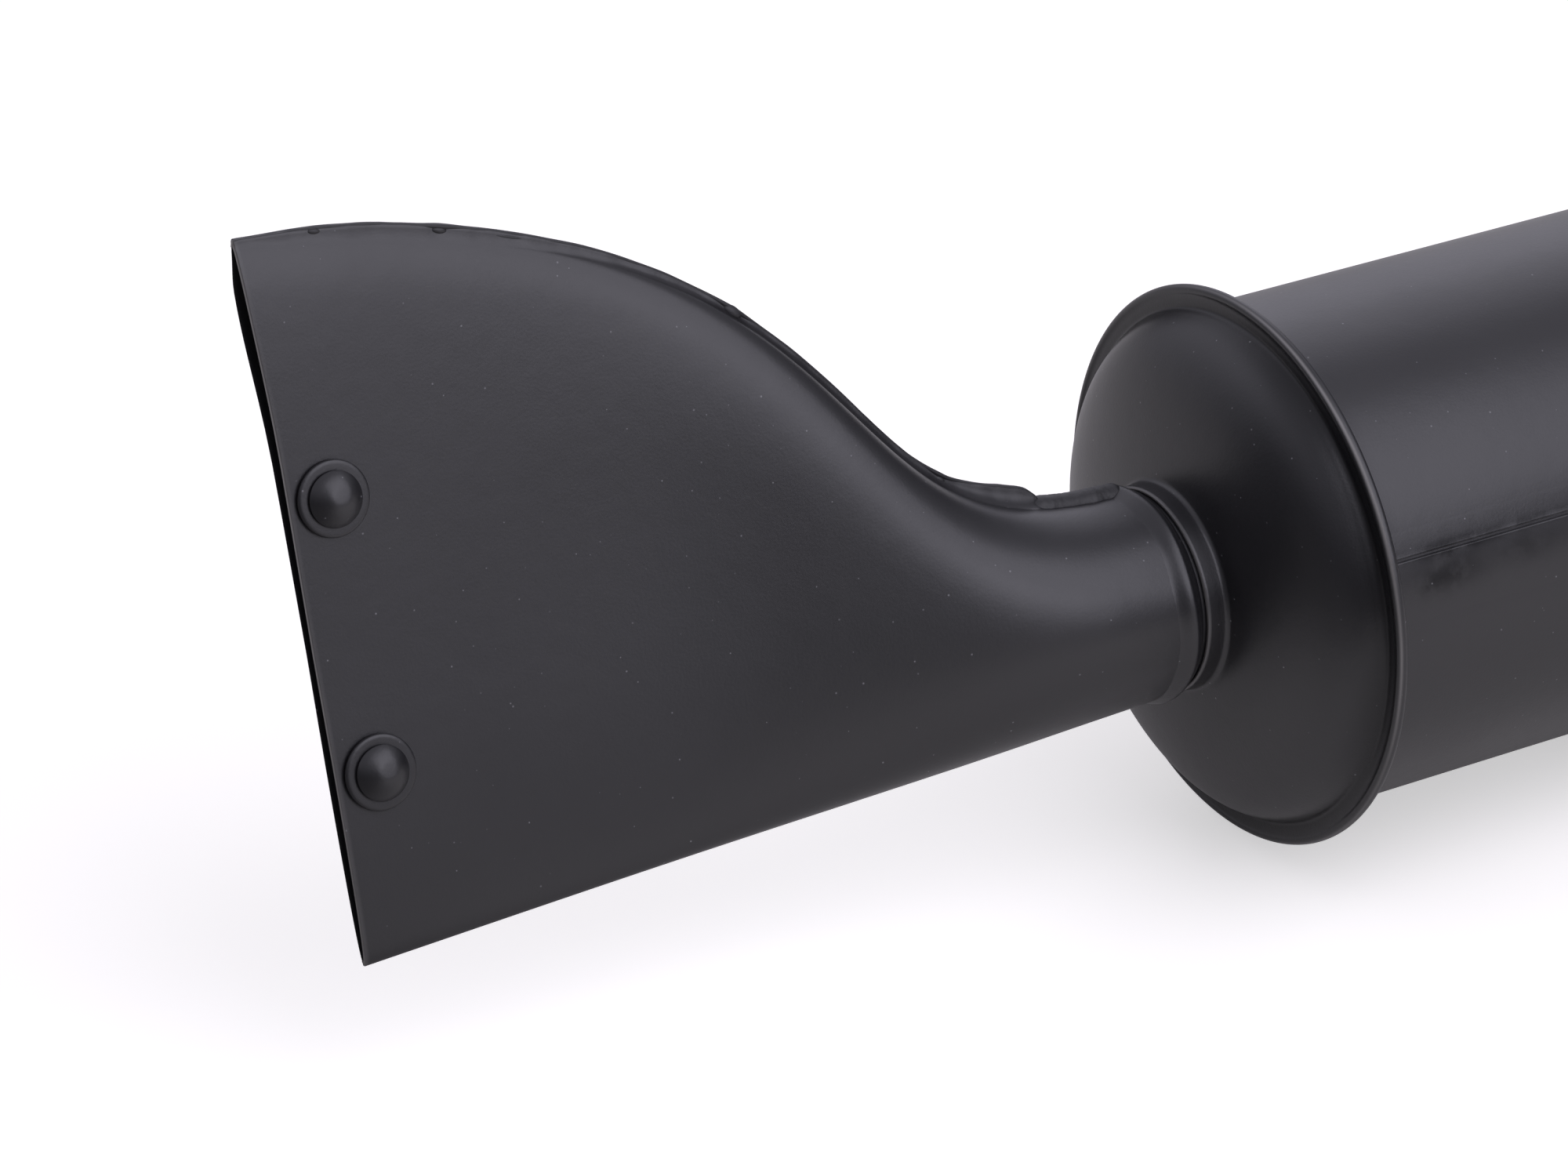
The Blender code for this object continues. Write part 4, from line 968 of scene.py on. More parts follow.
class SILENCER_OT_welds(bpy.types.Operator):
    """Weld beads along the tail's seam and round both necks"""
    bl_idname = "silencer.welds"
    bl_label = "Weld Beads"

    # Where a weld stopped and started: (distance behind the rear rim, the crest's swelling, the lump's
    # length, its radius)
    LUMPS = ((0.1945, 0.0, 0.0030, 0.0006), (0.1685, 0.25, 0.0034, 0.0007), (0.1540, 0.0, 0.0090, 0.0004),
             (0.1085, 0.40, 0.0048, 0.0013), (0.0675, 0.25, 0.0030, 0.0007))

    def execute(self, context):
        paint = weld_finish()
        add_piece("tail_seam_bead", self.seam_bead(paint), paint, nodes=["tail_seam_weld"])
        add_piece("tail_neck_tack", self.neck_tack(paint), paint)
        sunk, back, past_lip = 0.00009, 0.0024, 0.0006
        for name, end, radius, side, seed in (
                ("tail_neck", TAIL_HIGH.x, settings().tail.pipe_radius, 1, 4.0),
                ("inlet_neck", FRONT_CAP_HIGH.x + past_lip, radius_of("inlet_tube"), -1, 9.0)):
            bead = self.neck_bead(name + "_bead", end - side * back, radius - sunk, side, seed)
            add_piece(name + "_bead", bead, paint_finish(), nodes=[name + "_weld"])
        groove = self.neck_collar("tail_neck_groove", REAR_CAP_LOW.x + past_lip, TAIL_HIGH.x - 0.0004,
                                  settings().tail.pipe_radius)
        add_piece("tail_neck_groove", groove, paint)
        return {"FINISHED"}

    def seam_bead(self, paint):
        """Bead that covers the crest of the turned-up edges, with lumps at its foot."""
        seam = settings().seam
        place = tail_place()
        past_mouth, past_end, sunk = 0.0008, 0.0002, 0.00025
        thinned, dive, depth = 0.016, 0.0040, 0.0006
        along = np.linspace(TAIL_END + past_mouth, seam.end - past_end, 460)
        radii = 1 + 0.05 * wander(along, 0.024, 5)
        for spot, swelling, reach, _ in self.LUMPS:
            radii += swelling * bell(along, spot, 0.8 * reach)
        # Thinner at the mouth, and down into the sheet at the neck
        radii *= 0.45 + 0.55 * ease((TAIL_END - along) / thinned)
        drop = depth * ease((seam.end + dive - along) / dive)
        height = tail_top(along) + seam_rise(along) - sunk - drop
        aside = 0.0001 * wander(along, 0.034, 7)
        points = [place @ Vector((-d, y, z)) for d, y, z in zip(along, aside, height)]
        path = path_curve("tail_seam_bead", points, radii)
        bead = weld_bead(path, 2.04 * seam.half, seam.crest_height, tail_across(), paint, sunk=0.0005,
                         step=0.0004, swell=0.06, lumps=0.00005, lump_size=0.0030, seed=2.0)
        lumps = [self.lump(spot, reach, radius) for spot, _, reach, radius in self.LUMPS]
        return joined("tail_seam_bead", bead, *lumps)

    def lump(self, spot, reach, radius):
        """A drop of weld left on the near side, half way up the turned-up edges."""
        slope = float(top_slope(spot))
        along = Vector((-1, 0, slope)).normalized()
        across = Vector((0, 1, 0))
        height = float(tail_top(spot) + 0.55 * seam_rise(spot))
        centre = Vector((-spot, 0.0003 - settings().seam.half, height))
        turn = Matrix((along, across, along.cross(across))).transposed().to_4x4()
        shape = Matrix.Diagonal((reach / 2, 0.95 * radius, radius, 1))
        bm = bmesh.new()
        bmesh.ops.create_uvsphere(bm, u_segments=28, v_segments=16, radius=1.0,
                                  matrix=tail_place() @ Matrix.Translation(centre) @ turn @ shape)
        return mesh_from(bm, "lump")

    def neck_tack(self, paint):
        """Low rough bead where the sheet's edges meet flush, between the turned-up edges and the neck."""
        place = tail_place()
        along = np.linspace(settings().seam.end + EDGE_RUN_OUT, TAIL_START + 0.0012, 140)
        sunk = 0.0006
        radii = 0.98 + 0.05 * wander(along, 0.0160, 8)
        radii *= 0.5 + 0.5 * ease((along[0] - along) / 0.004) * ease((along - along[-1]) / 0.003)
        points = [place @ Vector((-d, 0, z - sunk)) for d, z in zip(along, tail_top(along))]
        path = path_curve("tail_neck_tack", points, radii)
        width, height = 0.0066, 0.0029
        return weld_bead(path, width, height, tail_across(), paint, step=0.0003, lumps=0.0004,
                         lump_size=0.0016, seed=5.0)

    def neck_bead(self, name, crest, radius, side, seed):
        """Smooth bead round a pipe's end: washed out along the pipe, steep towards the cap on its side."""
        seam = settings().seam
        turn = side * np.linspace(0, 2 * math.pi, 240, endpoint=False)
        radii = 1 + 0.05 * np.sin(3 * turn + seed) + 0.03 * np.sin(7 * turn + 2 * seed)
        middle = crest + 0.0002 * np.sin(5 * turn + seed)
        points = [(x, radius * math.cos(t), AXIS_HEIGHT + radius * math.sin(t)) for x, t in zip(middle, turn)]
        path = path_curve(name, points, radii, cyclic=True)
        return weld_bead(path, seam.bead_width, seam.bead_height, (side, 0, 0), paint_finish(), washed=True,
                         step=0.0006, swell=0.08, lumps=0.00004, lump_size=0.005, seed=seed)

    def neck_collar(self, name, start, end, radius):
        """Painted bottom of the groove between a neck's lip and its bead."""
        depth, hollow, foot = 0.0008, 0.0002, radius - 0.0026
        reach = np.linspace(0, 1, 9)
        floor = radius - depth - hollow * np.sin(np.pi * reach)
        line = [(start + (end - start) * t, r) for t, r in zip(reach, floor)]
        back = [(end, foot), (start, foot)]
        return turned(name, np.array(line + back), 192)


# Rivets


def hammered_head(radius, height):
    """A rivet's head with its Z outwards: a low dome with one small flat left by the hammer."""
    ball = (radius ** 2 + height ** 2) / (2 * height)
    flat, far = Vector((0.13, 0.05, 1)).normalized(), 0.95 * height
    sharp = 11000.0
    lift, flat_lift = 0.00053, 0.0005
    # The head's edge: (share of its radius, height)
    edge = ((0.90, -0.0001), (0.91, 0.0), (0.935, 0.00010), (0.97, 0.00022), (0.992, 0.00036))
    rows = []
    for turn in np.linspace(0, 2 * math.pi, 96, endpoint=False):
        line = [(0.0, 0.0, -0.0001)]
        for part, up in edge:
            line.append((part * radius * math.cos(turn), part * radius * math.sin(turn), up))
        for part in np.concatenate((np.linspace(1.0, 0.92, 7), np.linspace(0.89, 0, 36))):
            x, y = part * radius * math.cos(turn), part * radius * math.sin(turn)
            dome = math.sqrt(ball ** 2 - (part * radius) ** 2) - (ball - height)
            lids = (dome + lift, (far + flat_lift - flat.x * x - flat.y * y) / flat.z)
            top = -math.log(sum(math.exp(-sharp * value) for value in lids)) / sharp
            line.append((x, y, top))
        rows.append(line)
    return grid_mesh("rivet_head", rows, True, False)


def ring_shape(name, bore, radius, thickness, rounding):
    """A flat ring with rounded edges and its Z outwards, sitting on z = 0."""
    profile = softened([(0, bore), (thickness, bore), (thickness, radius), (0, radius)], rounding, 6)
    return turned(name, profile, 96, Matrix.Rotation(-math.pi / 2, 4, "Y"))


class SILENCER_OT_rivets(bpy.types.Operator):
    """Two hammered rivets through the mouth, with their washers"""
    bl_idname = "silencer.rivets"
    bl_label = "Rivets"

    def execute(self, context):
        size, tail, paint = settings().rivet, settings().tail, paint_finish()
        across = tail_across()
        seat = tail.mouth_half + TOUCH
        for name in ("upper", "lower"):
            middle = middle_of(name + "_rivet")
            sides = [(side, middle + across * side * seat, across * side) for side in (-1, 1)]
            thick = size.washer_thickness
            washer = ring_shape("washer", size.shank + FIT, size.washer_radius, thick, 0.0009)
            for side, spot, facing in sides:
                label = name + ("_washer_near" if side < 0 else "_washer_far")
                mesh = set_out(label, washer.copy(), [(spot, facing)], paint)
                add_piece(label + "_ring", closed(mesh), paint, nodes=[label])
            head = hammered_head(size.head_radius, size.head_height)
            places = [(spot + facing * (thick + TOUCH), facing) for _, spot, facing in sides]
            heads = set_out(name + "_rivet_heads", head, places, paint, 0.8, size.seed)
            end = seat + 0.002
            shank = turned("shank", [(-end, 0), (-end, size.shank), (end, size.shank), (end, 0)], 48,
                           Matrix.Translation(middle) @ across.to_track_quat("X", "Z").to_matrix().to_4x4())
            add_piece(name + "_rivet_body", joined(name + "_rivet_body", heads, shank), paint,
                      nodes=[name + "_rivet"])
        return {"FINISHED"}


# Can and end caps

# How far the middle of the rim's roll lies below the brim, as a share of its radius
ROLL_DROP = 0.75


def dome_height(radius):
    """Height of a cap's dome above the middle of its rim."""
    can = settings().can
    full = can.dome_fullness
    part = np.clip(1 - (np.asarray(radius) / (can.radius + can.sheet / 2)) ** full, 0, 1)
    return can.brim + can.dome_depth * part ** (1 / full)


def eased_line(line, reach):
    """A line through the same ends with its corners rounded off over about the given reach."""
    spacing = 0.0002
    line = np.array(line)
    run = run_of(line)
    even = np.arange(0, run[-1], spacing)
    points = np.column_stack([np.interp(even, run, line[:, i]) for i in (0, 1)])
    smooth = points.copy()
    for i, at in enumerate(even):
        near = min(reach, 0.5 * at, 0.5 * (even[-1] - at)) + 1e-9
        weight = np.exp(-0.5 * ((even - at) / near) ** 2)
        smooth[i] = (points * weight[:, None]).sum(axis=0) / weight.sum()
    # Every second point is enough for the mesh
    return np.vstack((smooth[:-1:2], smooth[-1:]))


def cap_section(neck_radius):
    """Closed section of a cap as (height above the rim, radius) points."""
    can = settings().can
    full = can.dome_fullness
    foot = neck_radius + can.neck_fillet
    lip = float(dome_height(neck_radius)) + can.neck_height
    base = float(dome_height(foot)) + can.neck_fillet
    line = [(lip - 0.0004, neck_radius)]
    line += [(base + t * (lip - 0.0006 - base), neck_radius) for t in (0.9, 0.6, 0.3)]
    line += list(arc((base, foot), can.neck_fillet, 270, 190, 7))
    # Dome, brim and the roll at its edge, which hooks behind the can's flange
    dome_foot = can.radius + can.sheet / 2
    first = math.asin((foot / dome_foot) ** (full / 2))
    radius = dome_foot * np.sin(np.linspace(first, math.pi / 2, 160)[1:]) ** (2 / full)
    roll, slant = can.roll_radius, 25
    centre = (can.brim - ROLL_DROP * roll, RIM_RADIUS - roll)
    flank = arc(centre, roll, -slant, 180, 42)
    edge = flank[0][1] - (flank[0][0] - can.brim) / math.tan(math.radians(slant))
    dome = list(np.column_stack((dome_height(radius), radius))) + [(can.brim, edge - 0.0005)]
    line += list(eased_line(dome, can.brim_reach))
    start, corner = np.array(line[-1]), np.array((can.brim, edge))
    line += [bent(start, corner, flank[0], t) for t in np.linspace(0, 1, 7)[1:-1]]
    line += list(flank)
    hem = can.hem_sheet
    behind = centre[0] - roll - hem
    line += [(behind + 0.5 * hem, centre[1] - 0.0005), (behind + 0.1 * hem, centre[1] - 0.0009),
             (behind, centre[1] - 0.0014), (behind, can.radius + 0.0016)]
    line = np.array(line)
    back = offset(line, hem)
    tip = (line[0] + back[0]) / 2 + (0.0004, 0)
    hook = (line[-1] + back[-1]) / 2 + (0, -0.0003)
    return np.vstack((line, [hook], back[::-1], [tip]))


class SILENCER_OT_caps(bpy.types.Operator):
    """Domed end caps with their rolled rims"""
    bl_idname = "silencer.caps"
    bl_label = "End Caps"

    def execute(self, context):
        can, tail = settings().can, settings().tail
        front_neck = radius_of("inlet_tube") + FIT + can.sheet
        roll = can.roll_radius
        brim_middle, brim_reach = 0.0552, 0.0030
        for name, node, rim, side, neck in (
                ("rear_cap", "rear_end_cap", REAR_RIM, -1, tail.pipe_radius),
                ("front_cap", "front_end_cap", FRONT_RIM, 1, front_neck)):
            mesh = turned(name, cap_section(neck) * (side, 1) + (rim, 0), 256)
            points = points_of(mesh)
            height = side * (points[:, 0] - rim)
            radius = np.hypot(points[:, 1], points[:, 2] - AXIS_HEIGHT)
            # Painted shade darkens the brim; the roll gets a painted highlight of bare steel, and the neck's
            # lip is rubbed bright
            mark(mesh, "grime", 0.75 * bell(radius, brim_middle, brim_reach) * (height > 0))
            turn = np.degrees(np.arctan2(radius - RIM_RADIUS + roll, height - can.brim + ROLL_DROP * roll))
            lip = float(dome_height(neck)) + can.neck_height
            # Painted highlight on the roll, as bare steel. Angles in degrees: round the roll's section, and
            # round the rim from its top
            rubbed_and_highlight = bell(turn, 50, 16) * (radius > RIM_RADIUS - 1.3 * roll)
            round_ = np.degrees(np.arctan2(-points[:, 1], points[:, 2] - AXIS_HEIGHT))
            rubbed_and_highlight *= 0.2 + 0.8 * bell(round_, 45, 42)
            mark(mesh, "wear", rubbed_and_highlight + 0.5 * bell(height, lip, 0.0004))
            add_piece(name, mesh, paint_finish(), nodes=[node])
        return {"FINISHED"}


class SILENCER_OT_can(bpy.types.Operator):
    """Rolled can with its flanges, and the overlapping edge along its side"""
    bl_idname = "silencer.can"
    bl_label = "Can"

    def execute(self, context):
        can = settings().can
        bend = can.sheet
        face = can.sheet / 2
        tip = RIM_RADIUS - 2 * can.roll_radius - 0.0003
        front, rear = FRONT_RIM - face, REAR_RIM + face
        first, last = (front - bend, can.radius + bend), (rear + bend, can.radius + bend)
        side = [(x, can.radius) for x in np.linspace(front - bend, rear + bend, 60)[1:-1]]
        outside = np.vstack(([(front, tip)], arc(first, bend, 0, -90, 7), side,
                             arc(last, bend, -90, -180, 7), [(rear, tip)]))
        hem = can.hem_sheet
        inside = np.vstack(([(front + hem, tip)], arc(first, bend + hem, 0, -90, 7),
                            arc(last, bend + hem, -90, -180, 7), [(rear - hem, tip)]))
        section = np.vstack((outside, inside[::-1]))
        add_piece("can_body", turned("can_body", section, 288), paint_finish(),
                  nodes=["can_shell"])
        self.add_lap(can)
        return {"FINISHED"}

    # Darker, duller patches of paint near the lap: (from the rear rim, below the lap, half length, half
    # height, strength)
    DARK_PATCHES = ((0.0165, -0.0004, 0.0120, 0.0016, 1.25), (0.0160, 0.0050, 0.0060, 0.0034, 0.65),
               (0.0090, 0.0058, 0.0050, 0.0026, 0.55), (0.0340, 0.0040, 0.0070, 0.0026, 0.40),
               (0.0380, -0.0008, 0.0090, 0.0012, 0.6), (0.0900, 0.0045, 0.0080, 0.0026, 0.7),
               (0.1500, 0.0030, 0.0090, 0.0022, 0.6), (0.2100, 0.0050, 0.0070, 0.0028, 0.7),
               (0.2700, -0.0010, 0.0080, 0.0015, 0.9))

    # The step's line across the lap: (millimetres below its edge, height)
    LAP_EDGE = ((-7.0, -0.03), (-5.5, 0.01), (-1.0, 0.02), (-0.7, 0.07), (-0.5, 0.03), (-0.38, -0.02),
                (-0.30, -0.02), (-0.08, -0.02), (0.0, 0.25), (0.08, 0.60), (0.25, 0.74), (0.5, 0.72))

    def dents(self, x, run, spots):
        """Depth of the dents that the spot welds leave, at a place along the can and across the lap."""
        depth = np.zeros(len(run))
        for i, spot in enumerate(spots):
            along = x - spot - 0.002 * math.sin(5.3 * i)
            if abs(along) < 0.012:
                down = run - 0.0038 - 0.0010 * math.sin(7.1 * i)
                wide = 0.0036 + 0.0012 * math.sin(3.7 * i)
                deep = 0.00007 + 0.00003 * math.sin(2.9 * i)
                depth += deep * np.exp(-(along / wide) ** 2 - (down / 0.0024) ** 2)
        return depth

    def add_lap(self, can):
        """The overlapping edge: a fine step that faces up, runs out below and is dented by the spot welds."""
        near_step = (-0.85, -0.7, -0.55, -0.45, -0.38, -0.32, -0.24, -0.16, -0.08,
                     0.0, 0.03, 0.08, 0.15, 0.25, 0.4, 0.6, 0.9)
        run = np.concatenate((np.linspace(-7.0, -1.0, 10), near_step, np.linspace(1.3, 16.0, 44))) / 1000
        edge = np.interp(run * 1000, *zip(*self.LAP_EDGE)) / 0.74
        step_end, fade_end = 0.0005, 0.0150
        faded = 1.03 * ease((fade_end - run) / (fade_end - step_end)) - 0.05
        height = can.lap_step * np.where(run < step_end, edge, faded)
        start = REAR_RIM + RIM_HALF
        margin = 0.0017
        xs = np.linspace(REAR_RIM + margin, FRONT_RIM - margin, 520)
        spots = np.arange(xs[0] + 0.011, xs[-1], can.weld_pitch)
        turn = can.lap_angle + run / can.radius
        low = can.radius - 0.0004
        rows = []
        for x in xs:
            radius = can.radius + height - np.where(run > 0.0004, self.dents(x, run, spots), 0)
            outer = np.column_stack((np.full(len(run), x), -radius * np.sin(turn), radius * np.cos(turn)))
            inner = np.column_stack((np.full(len(run), x), -low * np.sin(turn), low * np.cos(turn)))
            rows.append(np.vstack((outer, inner[::-6])))
        mesh = fill_ends(grid_mesh("can_lap_edge", rows, False, True))
        points = points_of(mesh)
        down = (np.arctan2(-points[:, 1], points[:, 2]) - can.lap_angle) * can.radius
        dull = 0
        for along, below, half_length, half_height, strength in self.DARK_PATCHES:
            off = ((points[:, 0] - start - along) / half_length) ** 2 + ((down - below) / half_height) ** 2
            dull = dull + strength * np.exp(-off)
        mark(mesh, "smudge", np.minimum(dull, 1))
        mesh.transform(Matrix.Translation((0, 0, AXIS_HEIGHT)))
        add_piece("can_lap_edge", mesh, paint_finish())


# Tubes and plates


def ring_marks(along, radius, count, turn=0.0):
    """Places round a tube, facing out."""
    found = []
    for i in range(count):
        at = turn + 2 * math.pi * i / count
        way = Vector((0, math.cos(at), math.sin(at)))
        found.append((Vector((along, 0, AXIS_HEIGHT)) + way * radius, way))
    return found


def gas_holes(start, step, rows, radius, count):
    """Rows of places along a tube, each row turned half a step."""
    found = []
    for row in range(rows):
        found += ring_marks(start + step * row, radius, count, math.pi / count * (row % 2))
    return found


def tube_body(name, start, end, bore, radius):
    """A tube with rounded ends."""
    outline = softened([(start, bore), (end, bore), (end, radius), (start, radius)], 0.0004, 3)
    return turned(name, outline, 128)


def pressed_line(face, back, bore, radius, wall, corner, inner, points):
    """Section of a pressed plate with a flange, from its bore out to the flange's edge and back."""
    way = 1 if back > face else -1
    half = 0.5 * (bore + radius)
    line = [(face, bore), (face, half)]
    line += [(face + way * corner * (1 - math.cos(t)), radius - corner * (1 - math.sin(t)))
             for t in np.linspace(0, math.pi / 2, points)]
    line += [(back, radius), (back, radius - wall)]
    line += [(face + way * (wall + inner * (1 - math.cos(t))), radius - wall - inner * (1 - math.sin(t)))
             for t in np.linspace(math.pi / 2, 0, points - 2)]
    return np.array(line + [(face + way * wall, half), (face + way * wall, bore)])


class SILENCER_OT_tubes(bpy.types.Operator):
    """Inlet and outlet tubes with their gas holes, slots and end cups"""
    bl_idname = "silencer.tubes"
    bl_label = "Tubes"

    def execute(self, context):
        size = settings().tube
        for name, finish, slot, wall, first, way, rows in (
                ("inlet", paint_finish(), "satin_black", size.inlet_wall, FRONT_RIM, -1, 7),
                ("outlet", steel_finish(), "bare_steel", size.outlet_wall, REAR_RIM, 1, 9)):
            low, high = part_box(name + "_tube")
            radius = radius_of(name + "_tube")
            body = tube_body(name + "_pipe", low.x, high.x, radius - wall, radius)
            start, step = first + way * size.hole_margin, way * size.hole_pitch
            places = gas_holes(start, step, rows, radius, size.holes_round)
            slots = self.slot_blades(high.x, radius, size) if name == "inlet" else None
            mesh = pierced(body, places, size.hole_radius, 6 * wall, finish, slots)
            add_piece(name + "_pipe", mesh, finish, nodes=[name + "_tube"])
            low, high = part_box(name + "_plug")
            face, back = (low.x, high.x) if way < 0 else (high.x, low.x)
            radius = radius_of(name + "_plug")
            line = pressed_line(face, back, 0.0, radius, size.plate_wall, 0.0022, 0.0010, 7)
            cup = turned(name + "_cup", line, 96)
            add_piece(name + "_cup", cup, steel_finish(), nodes=[name + "_plug"])
        return {"FINISHED"}

    def slot_blades(self, end, radius, size):
        """Thin blocks with round tips that cut the four slots of the inlet."""
        half = size.slot_width / 2
        tip = half - size.slot_length
        outline = np.vstack(([(0.01, -half), (0.01, half)], arc((tip, 0), half, 90, 270, 9)))
        bm = bmesh.new()
        for turn in (45, 135):
            place = Matrix.Translation((end, 0, AXIS_HEIGHT)) @ Matrix.Rotation(math.radians(turn), 4, "X")
            ends = []
            for depth in (-1.5 * radius, 1.5 * radius):
                ends.append([bm.verts.new(place @ Vector((x, depth, z))) for x, z in outline])
            bm.faces.new(ends[0])
            bm.faces.new(ends[1][::-1])
            for i in range(len(outline)):
                j = (i + 1) % len(outline)
                bm.faces.new((ends[0][i], ends[1][i], ends[1][j], ends[0][j]))
        return mesh_from(bm, "inlet_slots")


class SILENCER_OT_plates(bpy.types.Operator):
    """Three flanged plates across the can, with gas holes"""
    bl_idname = "silencer.plates"
    bl_label = "Baffle Plates"

    def execute(self, context):
        size, steel = settings().tube, steel_finish()
        for name, tube, way in (("rear", "outlet", -1), ("middle", None, 1), ("front", "inlet", -1)):
            node = name + "_baffle"
            low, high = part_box(node)
            face, edge = (low.x, high.x) if way > 0 else (high.x, low.x)
            bore = radius_of(tube + "_tube") + FIT if tube else 0.0
            radius, wall = radius_of(node), size.plate_wall
            line = pressed_line(face, edge, bore, radius, wall, 0.003, 0.0018, 8)
            body = turned(name + "_plate", line, 128)
            spots = ring_marks(face, radius - wall - 0.004 - size.plate_hole, 6)
            holes = [(spot, (1, 0, 0)) for spot, _ in spots]
            mesh = pierced(body, holes, size.plate_hole, 8 * wall, steel)
            add_piece(name + "_plate", mesh, steel, nodes=[node])
        return {"FINISHED"}


# Clamp


def hex_shape(name, flats, height, bore):
    """A chamfered hexagon nut with its Z along the bore, sitting on z = 0."""
    ring = 0.485 * flats
    chamfer = 0.0005
    rows = []
    for turn in np.radians(np.arange(0, 360, 5)):
        out = 0.5 * flats / math.cos((turn + math.pi / 6) % (math.pi / 3) - math.pi / 6)
        drop = (out - ring) * math.tan(math.radians(30))
        line = [(bore, chamfer), (bore + chamfer, 0), (ring, 0), (out, drop), (out, height - drop),
                (ring, height), (bore + chamfer, height), (bore, height - chamfer)]
        if bore == 0:
            line = [(0, 0), (ring, 0), (out, 0.0002), (out, height - drop), (ring, height), (0, height)]
        rows.append([(r * math.cos(turn), r * math.sin(turn), z) for r, z in line])
    mesh = grid_mesh(name, rows, True, bore > 0)
    mesh.set_sharp_from_angle(angle=math.radians(24))
    return mesh


def threaded_rod(name, radius, plain, end, pitch):
    """A rod along Z from 0: plain at first, then threaded up to its chamfered end."""
    depth = 0.6 * pitch
    turn = np.linspace(0, 2 * math.pi, 40, endpoint=False)
    run = np.concatenate(([0.0], np.linspace(plain, end, int((end - plain) / pitch * 12))))
    rows = [[(0, 0, 0.0)] * len(turn)]
    for along in run:
        wave = np.abs(((along / pitch - turn / (2 * math.pi)) % 1) * 2 - 1)
        # A V with a flat crest and root, which fades in after the plain part
        cut = depth * np.clip(1.25 * wave - 0.125, 0, 1) * float(ease((along - plain) / pitch))
        out = np.minimum(radius - cut, radius - depth + max(end - along, 0) * 1.2)
        rows.append([(r * math.cos(t), r * math.sin(t), along) for r, t in zip(out, turn)])
    rows.append([(0, 0, end)] * len(turn))
    return grid_mesh(name, rows, False, True)


class SILENCER_OT_clamp(bpy.types.Operator):
    """Inlet clamp: folded band, bolt, washer and nut"""
    bl_idname = "silencer.clamp"
    bl_label = "Clamp"

    def execute(self, context):
        size, zinc = settings().clamp, zinc_finish()
        add_piece("clamp_strap", self.strap(size), zinc, "clamp", ["clamp_band"])
        low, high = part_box("clamp_bolt")
        spot = middle_of("clamp_nut")
        ear = size.gap / 2 + size.wall
        head = hex_shape("clamp_bolt_head", size.flats, high.y - ear, 0.0)
        head.transform(Matrix.Translation((spot.x, ear, spot.z)) @ Matrix.Rotation(-math.pi / 2, 4, "X"))
        rod = threaded_rod("clamp_bolt_rod", size.bolt_radius, 2 * ear, ear - low.y, size.pitch)
        turned_down = Matrix.Rotation(math.pi / 2, 4, "X")
        rod.transform(Matrix.Translation((spot.x, ear + 0.0002, spot.z)) @ turned_down)
        screw = joined("clamp_screw", head, rod)
        screw.set_sharp_from_angle(angle=math.radians(40))
        add_piece("clamp_screw", screw, zinc, "clamp", ["clamp_bolt"])
        low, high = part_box("clamp_washer")
        washer = ring_shape("clamp_washer_ring", size.bolt_radius + 0.0002, (high.z - low.z) / 2,
                            -ear - low.y, 0.0002)
        washer.transform(Matrix.Translation((spot.x, -ear, spot.z)) @ turned_down)
        add_piece("clamp_washer_ring", washer, zinc, "nut_washer", ["clamp_washer"])
        seat, end = low.y - 0.00005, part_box("clamp_nut")[0].y
        nut = hex_shape("clamp_hex_nut", size.flats, seat - end, size.bolt_radius)
        nut.transform(Matrix.Translation((spot.x, seat, spot.z)) @ turned_down)
        add_piece("clamp_hex_nut", nut, zinc, "nut", ["clamp_nut"])
        return {"FINISHED"}

    def strap(self, size):
        """The band with its ears, folded from one strip and swept round the inlet."""
        low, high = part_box("clamp_band")
        middle, half = (low.x + high.x) / 2, (high.x - low.x) / 2
        ring = (high.y - low.y) / 2 - size.wall / 2
        top = AXIS_HEIGHT - low.z
        ear = size.gap / 2 + size.wall / 2
        rise = math.sqrt((ring + size.bend) ** 2 - (ear + size.bend) ** 2)
        foot = math.degrees(math.atan2(rise, ear + size.bend))
        straight = [(ear, z) for z in np.linspace(top, rise, 24)[:-1]]
        bend = arc((ear + size.bend, rise), size.bend, 180, 180 + foot, 9)[:-1]
        line = np.vstack((straight, bend, arc((0, 0), ring, foot, -90, 60)))
        line = np.vstack((line, (line[:-1] * (-1, 1))[::-1]))
        normal = offset(line, 1.0) - line
        run = run_of(line)
        section = softened([(-half, -size.wall / 2), (half, -size.wall / 2), (half, size.wall / 2),
                            (-half, size.wall / 2)], 0.0004, 3)
        rows = []
        corner = 0.0035
        for point, out, place in zip(line, normal, np.minimum(run, run[-1] - run)):
            trim = corner - math.sqrt(max(corner ** 2 - max(corner - place, 0) ** 2, 0))
            width = 1 - trim / half
            rows.append([(x * width, *(point + out * t)) for x, t in section])
        mesh = fill_ends(grid_mesh("clamp_strap", rows, False, True))
        mesh.set_sharp_from_angle(angle=math.radians(50))
        mesh.transform(Matrix.Translation((middle, 0, AXIS_HEIGHT)) @ Matrix.Rotation(math.pi, 4, "X"))
        return mesh


# Mounting channel


